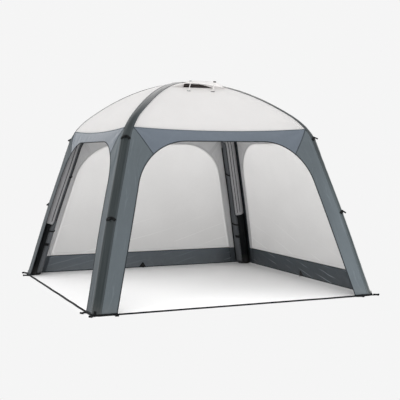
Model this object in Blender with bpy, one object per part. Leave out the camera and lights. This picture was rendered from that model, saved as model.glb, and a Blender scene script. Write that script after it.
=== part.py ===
"""Inflatable gazebo: four air beams that lean in as legs and run on as roof ridges to the crown,
with roof panels, eave bands and leg wings sewn between them, two zip-in walls and a propped vent.

Metres, +Z up. The origin is on the floor in the middle of the footprint. The front faces -Y.
Every piece is modelled on the front side or on the back right corner, and is turned about Z in
quarter turns to its own side or corner.
"""

import math

import bmesh
import bpy
import numpy as np

# Driving dimensions: the beams
FOOT_AXIS = 1.439        # beam centreline from the middle, along x and along y, at floor level
LEG_LEAN = 0.266         # inward run along x and along y for each metre of height
LEG_BOW = 0.0095         # half way up, the leg bulges outwards by this much along x and along y
CROWN_AXIS = 2.205       # height of the beam centreline at the crown
RIDGE_DROP = 0.5215      # the ridge is a parabola: it falls by this times the square of its offset
BEND_BELOW = 0.14        # the bend at the eave starts this far below the corner of leg and ridge
BEND_END = 0.85          # offset along x and y where the bend has become the ridge
BEAM_RADIUS = 0.074
HUB_REACH = 0.11         # the crown hub's faces from the middle, along the diagonals
HUB_HEIGHT = 0.11
HUB_BEVEL = 0.025

# Driving dimensions: the cloth
CLOTH = 0.004            # sewn cloth and its hems, modelled thicker than they are
COVER_GAP = 0.0008       # air between a beam and the cloth that is stretched over it
SEAM_GAP = 0.0004        # air between two pieces of cloth that are sewn edge to edge
TOUCH = 0.0003           # air between pieces that touch
CROWN_CLOTH_END = 0.085  # offset along x and y where ridge sleeves and roof panels end at the crown
SLEEVE_LEAST = math.radians(29.0)    # least half angle of the sleeve, near the crown
EAVE_SAG = 0.032         # the eave hangs this much lower in mid side than at the beams
ARCH_TOP = 1.606
ARCH_FOOT = 1.290        # half width of the doorway at the floor
ARCH_LEAN = 0.270
ARCH_RADIUS = 0.56
ARCH_SEAM = math.radians(50.0)   # where on the round corner the seam from the eave arrives
SKIRT_HEIGHT = 0.215
SILL_WIDTH = 0.03
SILL_THICK = 0.009

# Driving dimensions: the beam's inner covers, straps, hems and vent
COVER_FOOT = 0.002       # sleeves and boots end this far over the floor, which the beams stand on
BOOT_TOP = 0.69
BOOT_CLOTH = 0.003
BOOT_START = math.radians(62.0)
FLAP_BASE = 0.004
FLAP_WRAP_END = math.radians(174.0)
FLAP_CLOTH = 0.003
STRAP_HEIGHTS = {"mid": 0.85, "upper": 1.615}
STRAP_WIDTH = 0.025
STRAP_CLOTH = 0.003
STRAP_GAP = 0.001        # air between a band and the sleeve, whose rings are spaced far apart
STRAP_HALF_ANGLE = math.radians(36.0)
STRAP_TAB = 0.032
STRAP_DROP = 0.018       # the ends of a band sit this much further down the leg than its middle
HEM_WIDTH = 0.018
HEM_THICK = 0.003
LOOP_WIDTH = 0.024
LOOP_LENGTH = 0.085
TAB_WIDTH = 0.10         # the peg tab in the middle of each skirt's lower edge
TAB_HEIGHT = 0.075
TAB_BASE = 0.004
TAB_CLOTH = 0.003
VENT_CENTRE = -0.02      # the vent's opening sits this far to the left of the middle
VENT_FRONT = 0.425       # the vent's opening, from the middle of the floor towards the front
VENT_BACK = 0.215
VENT_FRONT_HALF = 0.185
VENT_BACK_HALF = 0.09
MESH_DEPTH = 0.001       # the insect mesh lies this far below the roof's outer surface
MESH_THICK = 0.002
CUTTER_HALF = 0.25
HOOD_BACK = 0.165
HOOD_BACK_HALF = 0.095
HOOD_TIP = 0.40
HOOD_TIP_HALF = 0.265
HOOD_FRONT = 0.50
HOOD_FRONT_HALF = 0.155
HOOD_RISE = 0.101        # height of the hood's front edge over the roof below it
HOOD_CLOTH = 0.003
HOOD_SHOULDER = 0.66     # share of the hood's half width at which its front edge turns to the tips
HOOD_LIFT = 0.001        # least air between the hood and the roof away from its seams
ROOF_SEAT = 0.0009       # air under what rests on the roof, whose faces are slightly twisted
PROP_WIDTH = 0.022
PROP_THICK = 0.004
PROP_OFFSET = 0.14
PROP_FRONT = 0.49
PROP_LEAN = (-0.03, 0.03)    # the props' feet stand this far to the left of their tops and forward
PATCH_SIDES = 16
PATCH_OVERLAP = 0.004    # the crown patch is flat until this far past the ends of the sleeves
PATCH_RIM = 0.034        # width of its sloping rim
PATCH_FALL = 0.0031
PATCH_SEAT = 0.0005

# Fineness of the meshes
LEG_HEIGHTS = (0.0, 0.45, 0.9, 1.25)
BEAM_SIDES = 14
SLEEVE_PARTS = 6
BEND_PARTS = 6
RIDGE_PARTS = 9
EAVE_PART = 3            # the eave seam lies on this station of the bend

CORNERS = {"back_right": 0, "back_left": 1, "front_left": 2, "front_right": 3}
SIDES = {"front": 0, "right": 1, "back": 2, "left": 3}
SIDE_ENDS = {"front": ("left", "right"), "right": ("front", "back"),
             "back": ("right", "left"), "left": ("back", "front")}


def clear_scene():
    """Remove what the file already holds."""
    for item in list(bpy.data.objects):
        bpy.data.objects.remove(item, do_unlink=True)


def material(name, colour, roughness):
    """A plain surface with one colour and one roughness."""
    made = bpy.data.materials.new(name)
    made.use_nodes = True
    shader = made.node_tree.nodes["Principled BSDF"]
    shader.inputs["Base Color"].default_value = (*colour, 1.0)
    shader.inputs["Roughness"].default_value = roughness
    shader.inputs["Metallic"].default_value = 0.0
    return made


def add_object(name, points, faces, look, quarter_turns=0, smooth=False):
    """One closed body as an object, with its faces turned outwards."""
    mesh = bpy.data.meshes.new(name)
    mesh.from_pydata([tuple(float(value) for value in point) for point in points], [], faces)
    work = bmesh.new()
    work.from_mesh(mesh)
    bmesh.ops.recalc_face_normals(work, faces=work.faces)
    work.to_mesh(mesh)
    work.free()
    if smooth:
        mesh.shade_smooth()
        mesh.set_sharp_from_angle(angle=math.radians(35.0))
    mesh.materials.append(look)
    item = bpy.data.objects.new(name, mesh)
    bpy.context.scene.collection.objects.link(item)
    item.rotation_euler.z = quarter_turns * math.pi / 2
    return item


def closed_grid(outer, inner):
    """Points and faces of a sheet with two grids of the same size as its two skins."""
    rows, columns = outer.shape[:2]
    points = np.concatenate([outer.reshape(-1, 3), inner.reshape(-1, 3)])
    shift = rows * columns
    faces = []
    for row in range(rows - 1):
        for column in range(columns - 1):
            a = row * columns + column
            quad = (a, a + 1, a + columns + 1, a + columns)
            faces.append(quad)
            faces.append(tuple(index + shift for index in reversed(quad)))
    rim = [column for column in range(columns)]
    rim += [row * columns + columns - 1 for row in range(1, rows)]
    rim += [(rows - 1) * columns + column for column in range(columns - 2, -1, -1)]
    rim += [row * columns for row in range(rows - 2, 0, -1)]
    for start, end in zip(rim, rim[1:] + rim[:1]):
        faces.append((start, start + shift, end + shift, end))
    return points, faces


def prism(outline, top):
    """Points and faces between two outlines with the same number of points."""
    count = len(outline)
    points = [tuple(point) for point in outline] + [tuple(point) for point in top]
    faces = [tuple(range(count)), tuple(range(2 * count - 1, count - 1, -1))]
    for start in range(count):
        end = (start + 1) % count
        faces.append((start, start + count, end + count, end))
    return points, faces


def beam_corner():
    """Offset and height where the straight leg line would meet the ridge parabola."""
    steep = 1.0 / LEG_LEAN
    rest = FOOT_AXIS / LEG_LEAN - CROWN_AXIS
    offset = (steep - math.sqrt(steep ** 2 - 4.0 * RIDGE_DROP * rest)) / (2.0 * RIDGE_DROP)
    return offset, (FOOT_AXIS - offset) / LEG_LEAN


def ridge_height(offset):
    """Height of the ridge parabola at an offset along x and y."""
    return CROWN_AXIS - RIDGE_DROP * offset ** 2


def beam_path():
    """Offset, height and slope angle of the beam centreline at each station, foot to crown.

    The leg bulges outwards by a raised cosine of its height. The bend is a quadratic curve that is
    tangent to the leg and to the ridge.
    The slope angle is measured from the horizontal, in the vertical plane of the diagonal.
    """
    corner_offset, corner_height = beam_corner()
    start_height = corner_height - BEND_BELOW
    start = np.array([FOOT_AXIS - LEG_LEAN * start_height, start_height])
    end = np.array([BEND_END, ridge_height(BEND_END)])
    end_slope = -2.0 * RIDGE_DROP * BEND_END
    # the control point is where the leg line meets the tangent at the end of the bend
    control_height = (end[1] + end_slope * (FOOT_AXIS - end[0])) / (1.0 + end_slope * LEG_LEAN)
    control = np.array([FOOT_AXIS - LEG_LEAN * control_height, control_height])
    stations = []
    for height in LEG_HEIGHTS:
        phase = 2.0 * math.pi * height / start_height
        bulge = LEG_BOW * 0.5 * (1.0 - math.cos(phase))
        swing = LEG_BOW * math.pi / start_height * math.sin(phase)
        stations.append((FOOT_AXIS - LEG_LEAN * height + bulge, height, swing - LEG_LEAN, 1.0))
    for part in range(BEND_PARTS):
        share = part / BEND_PARTS
        place = (1 - share) ** 2 * start + 2 * share * (1 - share) * control + share ** 2 * end
        run = (1 - share) * (control - start) + share * (end - control)
        stations.append((place[0], place[1], run[0], run[1]))
    for offset in np.linspace(BEND_END, CROWN_CLOTH_END, RIDGE_PARTS + 1):
        stations.append((offset, ridge_height(offset), -1.0, 2.0 * RIDGE_DROP * offset))
    table = np.array(stations)
    slope = np.arctan2(table[:, 3], -table[:, 2] * math.sqrt(2.0))
    return table[:, 0], table[:, 1], slope


PATH_OFFSET, PATH_HEIGHT, PATH_SLOPE = beam_path()
BEND_STATION = len(LEG_HEIGHTS)
EAVE_STATION = BEND_STATION + EAVE_PART
SKIN_RADIUS = BEAM_RADIUS + COVER_GAP + CLOTH


def path_at(height):
    """Offset, height and slope of the centreline at a height, between its stations."""
    offset = np.interp(height, PATH_HEIGHT, PATH_OFFSET)
    slope = np.interp(height, PATH_HEIGHT, PATH_SLOPE)
    return float(offset), height, float(slope)


def ring_point(offset, height, slope, radius, angle):
    """Point beside the centreline. Angle 0 is outwards in the diagonal plane, + is towards +Y."""
    out = math.sin(slope) * np.cos(angle)
    side = np.sin(angle)
    x = offset + radius * (out - side) / math.sqrt(2.0)
    y = offset + radius * (out + side) / math.sqrt(2.0)
    z = height + radius * math.cos(slope) * np.cos(angle)
    return np.stack([x, y, z], axis=-1)


def drop_to_floor(points, level=0.0):
    """Slide points along the leg's direction to a level, which gives the leg a flat end."""
    fall = points[..., 2] - level
    moved = points.copy()
    moved[..., 0] += LEG_LEAN * fall
    moved[..., 1] += LEG_LEAN * fall
    moved[..., 2] = level
    return moved


def tangent_angle(slope):
    """Angle on the beam where a panel with level threads along x leaves it."""
    return np.arctan(np.sin(slope))


def leave_line():
    """Where the panels leave the beam's cover: x, y and z at each station, and their normals."""
    angles = tangent_angle(PATH_SLOPE)
    line = []
    normals = []
    for offset, height, slope, angle in zip(PATH_OFFSET, PATH_HEIGHT, PATH_SLOPE, angles):
        line.append(ring_point(offset, height, slope, SKIN_RADIUS, angle))
        normals.append((0.0, math.sqrt(2.0) * math.sin(angle), math.cos(slope) * math.cos(angle)))
    line = np.array(line)
    line[0] = drop_to_floor(line[0])
    return line, np.array(normals)


LEAVE, LEAVE_NORMAL = leave_line()
EAVE_X, EAVE_Y, EAVE_Z = LEAVE[EAVE_STATION]


def side_depth(height):
    """Distance of a side's outer surface from the middle of the floor at a height."""
    return np.interp(height, LEAVE[:EAVE_STATION + 1, 2], LEAVE[:EAVE_STATION + 1, 1])


def side_normal(height):
    """Outward normal of a side's surface at a height, for the side that faces +Y."""
    heights = LEAVE[:EAVE_STATION + 1, 2]
    rows = LEAVE_NORMAL[:EAVE_STATION + 1]
    return np.stack([np.interp(height, heights, rows[:, axis]) for axis in range(3)], axis=-1)


def side_sheet(x, height, lowered=0.0, thickness=CLOTH):
    """Outer and inner points of a sheet on the side that faces -Y, from x and height."""
    depth = side_depth(height)
    normal = side_normal(height)
    outer = np.stack([x, -depth, height - lowered], axis=-1)
    outward = np.stack([normal[..., 0], -normal[..., 1], normal[..., 2]], axis=-1)
    inner = outer - thickness * outward
    # the hem at the floor is cut level
    level = height <= 1e-9
    inner[..., 1] = np.where(level, outer[..., 1] + thickness / normal[..., 1], inner[..., 1])
    inner[..., 2] = np.where(level, outer[..., 2], inner[..., 2])
    return outer, inner


def arch_centre():
    """Centre of the doorway's round corner, as x and height."""
    height = ARCH_TOP - ARCH_RADIUS
    return ARCH_FOOT - ARCH_LEAN * height - ARCH_RADIUS * math.hypot(1.0, ARCH_LEAN), height


def arch_point(angle, grow=0.0):
    """Point on the round corner. The angle runs from the door post's lean up to a right angle."""
    x, height = arch_centre()
    radius = ARCH_RADIUS + grow
    return x + radius * np.cos(angle), height + radius * np.sin(angle)


POST_ANGLE = math.atan(ARCH_LEAN)
POST_HEIGHTS = LEG_HEIGHTS[:3]
SIDE_ARC = list(np.linspace(POST_ANGLE, ARCH_SEAM, 6))
TOP_ARC = list(np.linspace(ARCH_SEAM, math.pi / 2, 6))


def post_x(height, grow=0.0):
    """Half width of the doorway at a height on its straight post."""
    return ARCH_FOOT - ARCH_LEAN * height + grow * math.hypot(1.0, ARCH_LEAN)


def build_beams(look):
    """The four air beams, each from its foot to the crown hub."""
    angles = np.arange(BEAM_SIDES) * 2.0 * math.pi / BEAM_SIDES
    end = HUB_REACH / math.sqrt(2.0) + TOUCH
    offsets = np.append(PATH_OFFSET, end)
    heights = np.append(PATH_HEIGHT, ridge_height(end))
    slopes = np.append(PATH_SLOPE, 0.0)
    rings = [ring_point(*station, BEAM_RADIUS, angles) for station in zip(offsets, heights, slopes)]
    rings[0] = drop_to_floor(rings[0])
    count = len(rings)
    points = np.concatenate(rings)
    faces = [tuple(range(BEAM_SIDES)), tuple(range(len(points) - 1, len(points) - BEAM_SIDES - 1, -1))]
    for ring in range(count - 1):
        for side in range(BEAM_SIDES):
            a = ring * BEAM_SIDES + side
            b = ring * BEAM_SIDES + (side + 1) % BEAM_SIDES
            faces.append((a, b, b + BEAM_SIDES, a + BEAM_SIDES))
    for corner, turns in CORNERS.items():
        add_object("air_beam_" + corner, points, faces, look, turns, smooth=True)


def build_sleeves(look):
    """The outer strip of dark cloth over each beam, from the floor to the crown."""
    slack = SEAM_GAP / SKIN_RADIUS
    outer = []
    inner = []
    for offset, height, slope in zip(PATH_OFFSET, PATH_HEIGHT, PATH_SLOPE):
        half = max(float(tangent_angle(slope)), SLEEVE_LEAST) - slack
        angles = np.linspace(-half, half, SLEEVE_PARTS + 1)
        outer.append(ring_point(offset, height, slope, SKIN_RADIUS, angles))
        inner.append(ring_point(offset, height, slope, SKIN_RADIUS - CLOTH, angles))
    outer = np.array(outer)
    inner = np.array(inner)
    outer[0] = drop_to_floor(outer[0], COVER_FOOT)
    inner[0] = drop_to_floor(inner[0], COVER_FOOT)
    points, faces = closed_grid(outer, inner)
    for corner, turns in CORNERS.items():
        add_object("ridge_sleeve_" + corner, points, faces, look, turns, smooth=True)


def build_hub(look):
    """The crown hub, a square block with chamfered edges between the four beam ends."""
    half = HUB_REACH - TOUCH
    work = bmesh.new()
    bmesh.ops.create_cube(work, size=1.0)
    bmesh.ops.scale(work, verts=work.verts, vec=(2 * half, 2 * half, HUB_HEIGHT))
    bmesh.ops.bevel(work, geom=work.edges[:], offset=HUB_BEVEL, segments=2, affect="EDGES", profile=0.6)
    bmesh.ops.translate(work, verts=work.verts, vec=(0.0, 0.0, CROWN_AXIS))
    mesh = bpy.data.meshes.new("crown_hub")
    work.to_mesh(mesh)
    work.free()
    mesh.materials.append(look)
    hub = bpy.data.objects.new("crown_hub", mesh)
    bpy.context.scene.collection.objects.link(hub)
    hub.rotation_euler.z = math.pi / 4


PANEL_SHARES = np.linspace(-1.0, 1.0, 11)


def panel_line(station):
    """Half width, depth and height of the roof panel's outer surface at a station."""
    angle = max(float(tangent_angle(PATH_SLOPE[station])), SLEEVE_LEAST)
    place = (PATH_OFFSET[station], PATH_HEIGHT[station], PATH_SLOPE[station])
    return ring_point(*place, SKIN_RADIUS, angle)


def panel_sag(height):
    """How much lower than at its beams the middle of a roof panel hangs."""
    return EAVE_SAG * np.clip((ridge_height(0.0) - height) / (CROWN_AXIS - EAVE_Z), 0.0, 1.0)


PANEL_LINES = np.array([panel_line(index) for index in range(EAVE_STATION, len(PATH_OFFSET))])


def roof_height(x, depth):
    """Height of the roof panel's outer surface, read from the same straight runs as its mesh."""
    order = PANEL_LINES[::-1]
    width = np.interp(depth, order[:, 1], order[:, 0])
    height = np.interp(depth, order[:, 1], order[:, 2])
    share = np.interp(np.abs(x) / width, PANEL_SHARES, 1.0 - PANEL_SHARES ** 2)
    return height - panel_sag(height) * share


def build_roof_panels(look, cutter):
    """The four roof panels, each stretched between two ridges, the front one with the vent hole."""
    lines = PANEL_LINES.copy()
    lines[:, 0] -= SEAM_GAP
    # the panel starts just above the eave seam
    climb = lines[1] - lines[0]
    lines[0] += climb * SEAM_GAP / np.linalg.norm(climb)
    normals = LEAVE_NORMAL[EAVE_STATION:]
    width = lines[:, 0][:, None] * PANEL_SHARES[None, :]
    depth = np.repeat(lines[:, 1][:, None], len(PANEL_SHARES), axis=1)
    sag = panel_sag(lines[:, 2])[:, None] * (1.0 - PANEL_SHARES ** 2)[None, :]
    outer = np.stack([width, -depth, lines[:, 2][:, None] - sag], axis=-1)
    outward = np.stack([normals[:, 0], -normals[:, 1], normals[:, 2]], axis=-1)
    inner = outer - CLOTH * outward[:, None, :]
    points, faces = closed_grid(outer, inner)
    for side, turns in SIDES.items():
        panel = add_object("roof_panel_" + side, points, faces, look, turns, smooth=True)
        if side == "front":
            cut = panel.modifiers.new("vent_hole", "BOOLEAN")
            cut.operation = "DIFFERENCE"
            cut.solver = "EXACT"
            cut.object = cutter


def wing_rows():
    """Outer and inner ends of each row of a wing, as x and height, from the floor to the eave."""
    beam_heights = list(LEAVE[:BEND_STATION, 2])
    bend_heights = list(LEAVE[BEND_STATION:EAVE_STATION + 1, 2])
    outer_heights = beam_heights + [0.5 * (beam_heights[-1] + bend_heights[0])] + bend_heights
    outer = [(np.interp(height, LEAVE[:, 2], LEAVE[:, 0]) - SEAM_GAP, height) for height in outer_heights]
    inner = [(post_x(height, SEAM_GAP), height) for height in POST_HEIGHTS]
    inner += [arch_point(angle, SEAM_GAP) for angle in SIDE_ARC]
    return np.array(outer), np.array(inner)


def build_wings(look):
    """The two wings of each side: cloth between a beam and the doorway, below the corner seam."""
    outer_ends, inner_ends = wing_rows()
    shares = np.linspace(0.0, 1.0, 4)[None, :, None]
    rows = outer_ends[:, None, :] * (1.0 - shares) + inner_ends[:, None, :] * shares
    for side, turns in SIDES.items():
        for end, sign in zip(SIDE_ENDS[side], (-1.0, 1.0)):
            outer, inner = side_sheet(sign * rows[..., 0], rows[..., 1])
            points, faces = closed_grid(outer, inner)
            add_object("leg_wing_%s_%s" % (side, end), points, faces, look, turns)


def build_eave_bands(look):
    """The band over each doorway, between the two corner seams."""
    seam_outer, seam_inner = (ends[-1] for ends in wing_rows())
    seam = seam_outer - seam_inner
    seam_length = np.linalg.norm(seam)
    step = SEAM_GAP * np.array([-seam[1], seam[0]]) / seam_length
    right = np.array([arch_point(angle, SEAM_GAP) for angle in TOP_ARC])
    right[0] += 2.0 * step
    flat = np.linspace(right[-1, 0], -right[-1, 0], 5)[1:-1]
    level = np.full(len(flat), right[-1, 1])
    lower = np.concatenate([right, np.stack([flat, level], axis=-1), right[::-1] * (-1.0, 1.0)])
    across = np.linspace(1.0, -1.0, len(lower))
    top_end = seam_outer[0] + 2.0 * step[0]
    upper = np.stack([top_end * across, np.full(len(lower), seam_outer[1])], axis=-1)
    shares = np.linspace(0.0, 1.0, 4)
    grid = lower[:, None, :] * (1.0 - shares)[None, :, None] + upper[:, None, :] * shares[None, :, None]
    sag = EAVE_SAG * (1.0 - across[:, None] ** 2) * shares[None, :]
    outer, inner = side_sheet(grid[..., 0], grid[..., 1], lowered=sag)
    points, faces = closed_grid(outer, inner)
    for side, turns in SIDES.items():
        add_object("eave_band_" + side, points, faces, look, turns)


def wall_sheet(name, edge, look, turns):
    """A sheet in the doorway, from rows that give its half width and its height."""
    columns = np.linspace(-1.0, 1.0, 5)[None, :]
    heights = np.repeat(edge[:, 1][:, None], columns.shape[1], axis=1)
    outer, inner = side_sheet(edge[:, 0][:, None] * columns, heights)
    points, faces = closed_grid(outer, inner)
    add_object(name, points, faces, look, turns)


def build_walls(cloth_look, skirt_look):
    """The zip-in walls of the back and the right side, each with a skirt along the floor."""
    base = SKIRT_HEIGHT + SEAM_GAP
    wall = [(post_x(height), height) for height in (base,) + POST_HEIGHTS[1:]]
    wall += [arch_point(angle) for angle in SIDE_ARC + TOP_ARC[1:]]
    skirt = [(post_x(height), height) for height in (0.0, SKIRT_HEIGHT)]
    for side in ("back", "right"):
        wall_sheet("wall_panel_" + side, np.array(wall), cloth_look, SIDES[side])
        wall_sheet("wall_skirt_" + side, np.array(skirt), skirt_look, SIDES[side])


def build_peg_tabs(look):
    """The three-cornered peg tab on the inner face of each skirt, in the middle at the floor."""
    x = np.array([-0.5 * TAB_WIDTH, 0.5 * TAB_WIDTH, 0.0])
    height = np.array([TAB_BASE, TAB_BASE, TAB_BASE + TAB_HEIGHT])
    outer, inner = side_sheet(x, height)
    inward = (inner - outer) / CLOTH
    near = inner + TOUCH * inward
    points, faces = prism(near, near + TAB_CLOTH * inward)
    for side in ("back", "right"):
        add_object("wall_peg_tab_" + side, points, faces, look, SIDES[side])


def build_sills(look):
    """The webbing that ties the feet together on the floor across the two open doorways."""
    depth = float(side_depth(0.0)) - 0.5 * CLOTH
    near = depth - 0.5 * SILL_WIDTH
    far = depth + 0.5 * SILL_WIDTH
    # the ends are cut to the lean of the door posts
    reach = {level: post_x(level) - TOUCH for level in (0.0, SILL_THICK)}
    layers = [[(-half, -far, level), (half, -far, level), (half, -near, level), (-half, -near, level)]
              for level, half in reach.items()]
    points, faces = prism(*layers)
    for side in ("front", "left"):
        add_object("floor_strap_" + side, points, faces, look, SIDES[side])


def build_boots(look):
    """The black cover around the inner side of each beam's lower end."""
    angles = np.linspace(BOOT_START, 2.0 * math.pi - BOOT_START, 18)
    places = [station for station in zip(PATH_OFFSET, PATH_HEIGHT, PATH_SLOPE) if station[1] < BOOT_TOP]
    places.append(path_at(BOOT_TOP))
    skins = []
    for radius in (BEAM_RADIUS + COVER_GAP + BOOT_CLOTH, BEAM_RADIUS + COVER_GAP):
        skin = np.array([ring_point(*place, radius, angles) for place in places])
        skin[0] = drop_to_floor(skin[0], COVER_FOOT)
        skins.append(skin)
    points, faces = closed_grid(*skins)
    for corner, turns in CORNERS.items():
        add_object("beam_boot_" + corner, points, faces, look, turns, smooth=True)


def flap_section(slope, radius):
    """Distances and angles around the beam of one skin of the strip, flank first and wing last."""
    turn = float(tangent_angle(slope))
    along_wing = np.array([math.cos(turn), -math.sin(turn)])
    from_wing = np.array([math.sin(turn), math.cos(turn)])
    angles = np.linspace(FLAP_WRAP_END, math.pi / 2 + turn, 5)
    section = radius * np.stack([np.sin(angles), np.cos(angles)], axis=-1)
    wing_end = radius * along_wing + (SKIN_RADIUS - CLOTH - SEAM_GAP) * from_wing
    section = np.vstack([section, wing_end])
    return np.hypot(section[:, 0], section[:, 1]), np.arctan2(section[:, 0], section[:, 1])


def build_flaps(look):
    """The strip from each beam's inner flank to its wing on the front or back side.

    In the beam's cross-section it lies round the flank from the innermost point to where the
    flank faces along the wing, and runs on from there square to the wing.
    """
    near = BEAM_RADIUS + COVER_GAP + BOOT_CLOTH + COVER_GAP
    places = list(zip(PATH_OFFSET, PATH_HEIGHT, PATH_SLOPE))[:BEND_STATION + 1]
    skins = []
    for radius in (near + FLAP_CLOTH, near):
        skin = np.array([ring_point(*place, *flap_section(place[2], radius)) for place in places])
        skin[0] = drop_to_floor(skin[0], FLAP_BASE)
        skins.append(skin)
    for corner, turns in CORNERS.items():
        # a quarter turn brings the +Y side of a corner to its -X side, so odd corners are mirrored
        order = (1, 0, 2) if turns % 2 == 1 else (0, 1, 2)
        points, faces = closed_grid(skins[0][..., order], skins[1][..., order])
        add_object("beam_flap_" + corner, points, faces, look, turns)


def build_straps(look):
    """The webbing bands over each leg with a tab for a guy line, halfway up and under the eave."""
    near = SKIN_RADIUS + STRAP_GAP
    far = near + STRAP_CLOTH
    tab_half = 0.5 * STRAP_CLOTH / far
    angles = np.linspace(-STRAP_HALF_ANGLE, STRAP_HALF_ANGLE, 7)
    inner = [(near, angle) for angle in angles[::-1]]
    outer = [(far, angle) for angle in angles if angle < -1e-6]
    tab = [(far, -tab_half), (far + STRAP_TAB, -tab_half), (far + STRAP_TAB, tab_half), (far, tab_half)]
    outer += tab + [(far, angle) for angle in angles if angle > 1e-6]
    section = np.array(outer + inner)
    for place, level in STRAP_HEIGHTS.items():
        offset, height, slope = path_at(level)
        ring = np.array([ring_point(offset, height, slope, r, a) for r, a in section])
        inward = -math.cos(slope) / math.sqrt(2.0)
        along = np.array([inward, inward, math.sin(slope)])
        ring -= STRAP_DROP * np.square(section[:, 1:] / STRAP_HALF_ANGLE) * along
        points, faces = prism(ring - 0.5 * STRAP_WIDTH * along, ring + 0.5 * STRAP_WIDTH * along)
        for corner, turns in CORNERS.items():
            add_object("guy_strap_%s_%s" % (place, corner), points, faces, look, turns)


def build_hems(look):
    """The webbing around the outside of each foot, flat on the floor, with three peg loops."""
    wall = float(side_depth(0.0))
    post = post_x(0.0)
    half_angle = float(tangent_angle(PATH_SLOPE[0]))
    near = []
    far = []
    for angle in np.linspace(-half_angle, half_angle, 7):
        for radius, row in ((SKIN_RADIUS + SEAM_GAP, near), (SKIN_RADIUS + HEM_WIDTH, far)):
            row.append(drop_to_floor(ring_point(FOOT_AXIS, 0.0, PATH_SLOPE[0], radius, angle))[:2])
    near = [(wall + SEAM_GAP, post)] + [tuple(place) for place in near] + [(post, wall + SEAM_GAP)]
    half = 0.5 * LOOP_WIDTH
    tip = wall + LOOP_LENGTH
    edge = float(far[0][0])
    loop_low = [(edge, post), (tip, post), (tip, post + LOOP_WIDTH), (edge, post + LOOP_WIDTH)]
    middle = np.array(far[3])
    diagonal = np.array([1.0, 1.0]) / math.sqrt(2.0)
    across = np.array([-1.0, 1.0]) / math.sqrt(2.0)
    loop_mid = [middle - half * across, middle - half * across + LOOP_LENGTH * diagonal]
    loop_mid += [middle + half * across + LOOP_LENGTH * diagonal, middle + half * across]
    loop_high = [(y, x) for x, y in reversed(loop_low)]
    rim = loop_low + [tuple(place) for place in far[:3]] + [tuple(place) for place in loop_mid]
    rim += [tuple(place) for place in far[4:]] + loop_high
    outline = rim + near[::-1]
    points, faces = prism([(x, y, 0.0) for x, y in outline], [(x, y, HEM_THICK) for x, y in outline])
    for corner, turns in CORNERS.items():
        add_object("foot_webbing_" + corner, points, faces, look, turns)


def vent_outline():
    """The vent's opening in plan, with its wide edge to the front."""
    front = -VENT_FRONT
    back = -VENT_BACK
    halves = (-VENT_FRONT_HALF, VENT_FRONT_HALF, VENT_BACK_HALF, -VENT_BACK_HALF)
    return [(VENT_CENTRE + half, y) for half, y in zip(halves, (front, front, back, back))]


def build_vent_cutter():
    """The prism that cuts the vent's opening through the front roof panel."""
    outline = vent_outline()
    low = [(x, y, CROWN_AXIS - CUTTER_HALF) for x, y in outline]
    high = [(x, y, CROWN_AXIS + CUTTER_HALF) for x, y in outline]
    points, faces = prism(low, high)
    cutter = add_object("vent_cutter", points, faces, material("cutter", (0.5, 0.5, 0.5), 0.5))
    cutter.hide_render = True
    cutter.display_type = "WIRE"
    return cutter


def build_vent_mesh(look):
    """The insect mesh that fills the vent's opening."""
    rows = np.linspace(0.0, 1.0, 5)
    columns = np.linspace(-1.0, 1.0, 5)
    depth = VENT_FRONT - SEAM_GAP + (VENT_BACK - VENT_FRONT + 2.0 * SEAM_GAP) * rows
    half = VENT_FRONT_HALF - 2.0 * SEAM_GAP + (VENT_BACK_HALF - VENT_FRONT_HALF) * rows
    x = VENT_CENTRE + half[:, None] * columns[None, :]
    y = np.repeat(depth[:, None], len(columns), axis=1)
    top = roof_height(x, y) - MESH_DEPTH
    outer = np.stack([x, -y, top], axis=-1)
    inner = np.stack([x, -y, top - MESH_THICK], axis=-1)
    points, faces = closed_grid(outer, inner)
    add_object("vent_mesh", points, faces, look)


def hood_grid():
    """The hood's outer surface: rows run from its sewn back edge to its free front edge."""
    shares = np.linspace(0.0, 1.0, 6)
    inner_columns = np.linspace(-HOOD_SHOULDER, HOOD_SHOULDER, 5)
    columns = np.concatenate([[-1.0], inner_columns, [1.0]])
    bend = np.clip((1.0 - np.abs(columns)) / (1.0 - HOOD_SHOULDER), 0.0, 1.0)
    front_x = np.interp(columns, [-1.0, -HOOD_SHOULDER, HOOD_SHOULDER, 1.0],
                        [-HOOD_TIP_HALF, -HOOD_FRONT_HALF, HOOD_FRONT_HALF, HOOD_TIP_HALF])
    front_y = HOOD_TIP + (HOOD_FRONT - HOOD_TIP) * bend
    seat = HOOD_CLOTH + ROOF_SEAT
    front_z = roof_height(front_x, front_y) + seat + HOOD_RISE * bend
    back_x = HOOD_BACK_HALF * columns
    back_y = np.full(len(columns), HOOD_BACK)
    back_z = roof_height(back_x, back_y) + seat
    share = shares[:, None]
    x = back_x * (1.0 - share) + front_x * share
    y = back_y * (1.0 - share) + front_y * share
    z = back_z * (1.0 - share) + front_z * share
    # nothing of the hood dips under the roof it is sewn to
    z = np.maximum(z, roof_height(x, y) + seat + HOOD_LIFT * (share > 0.0) * (share < 1.0))
    return x, y, z


def build_hood(look):
    """The hood over the vent, sewn down behind it and at its two tips, and open to the front."""
    x, y, z = hood_grid()
    outer = np.stack([x, -y, z], axis=-1)
    inner = np.stack([x, -y, z - HOOD_CLOTH], axis=-1)
    points, faces = closed_grid(outer, inner)
    add_object("vent_hood", points, faces, look)


def hood_underside(x, y):
    """Height of the hood's inner skin near its front edge, where the props meet it."""
    grid_x, grid_y, grid_z = hood_grid()
    last = np.interp(x, grid_x[-1], grid_z[-1])
    before = np.interp(x, grid_x[-2], grid_z[-2])
    share = (np.interp(x, grid_x[-1], grid_y[-1]) - y) / (
        np.interp(x, grid_x[-1], grid_y[-1]) - np.interp(x, grid_x[-2], grid_y[-2]))
    return last * (1.0 - share) + before * share - HOOD_CLOTH


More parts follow.
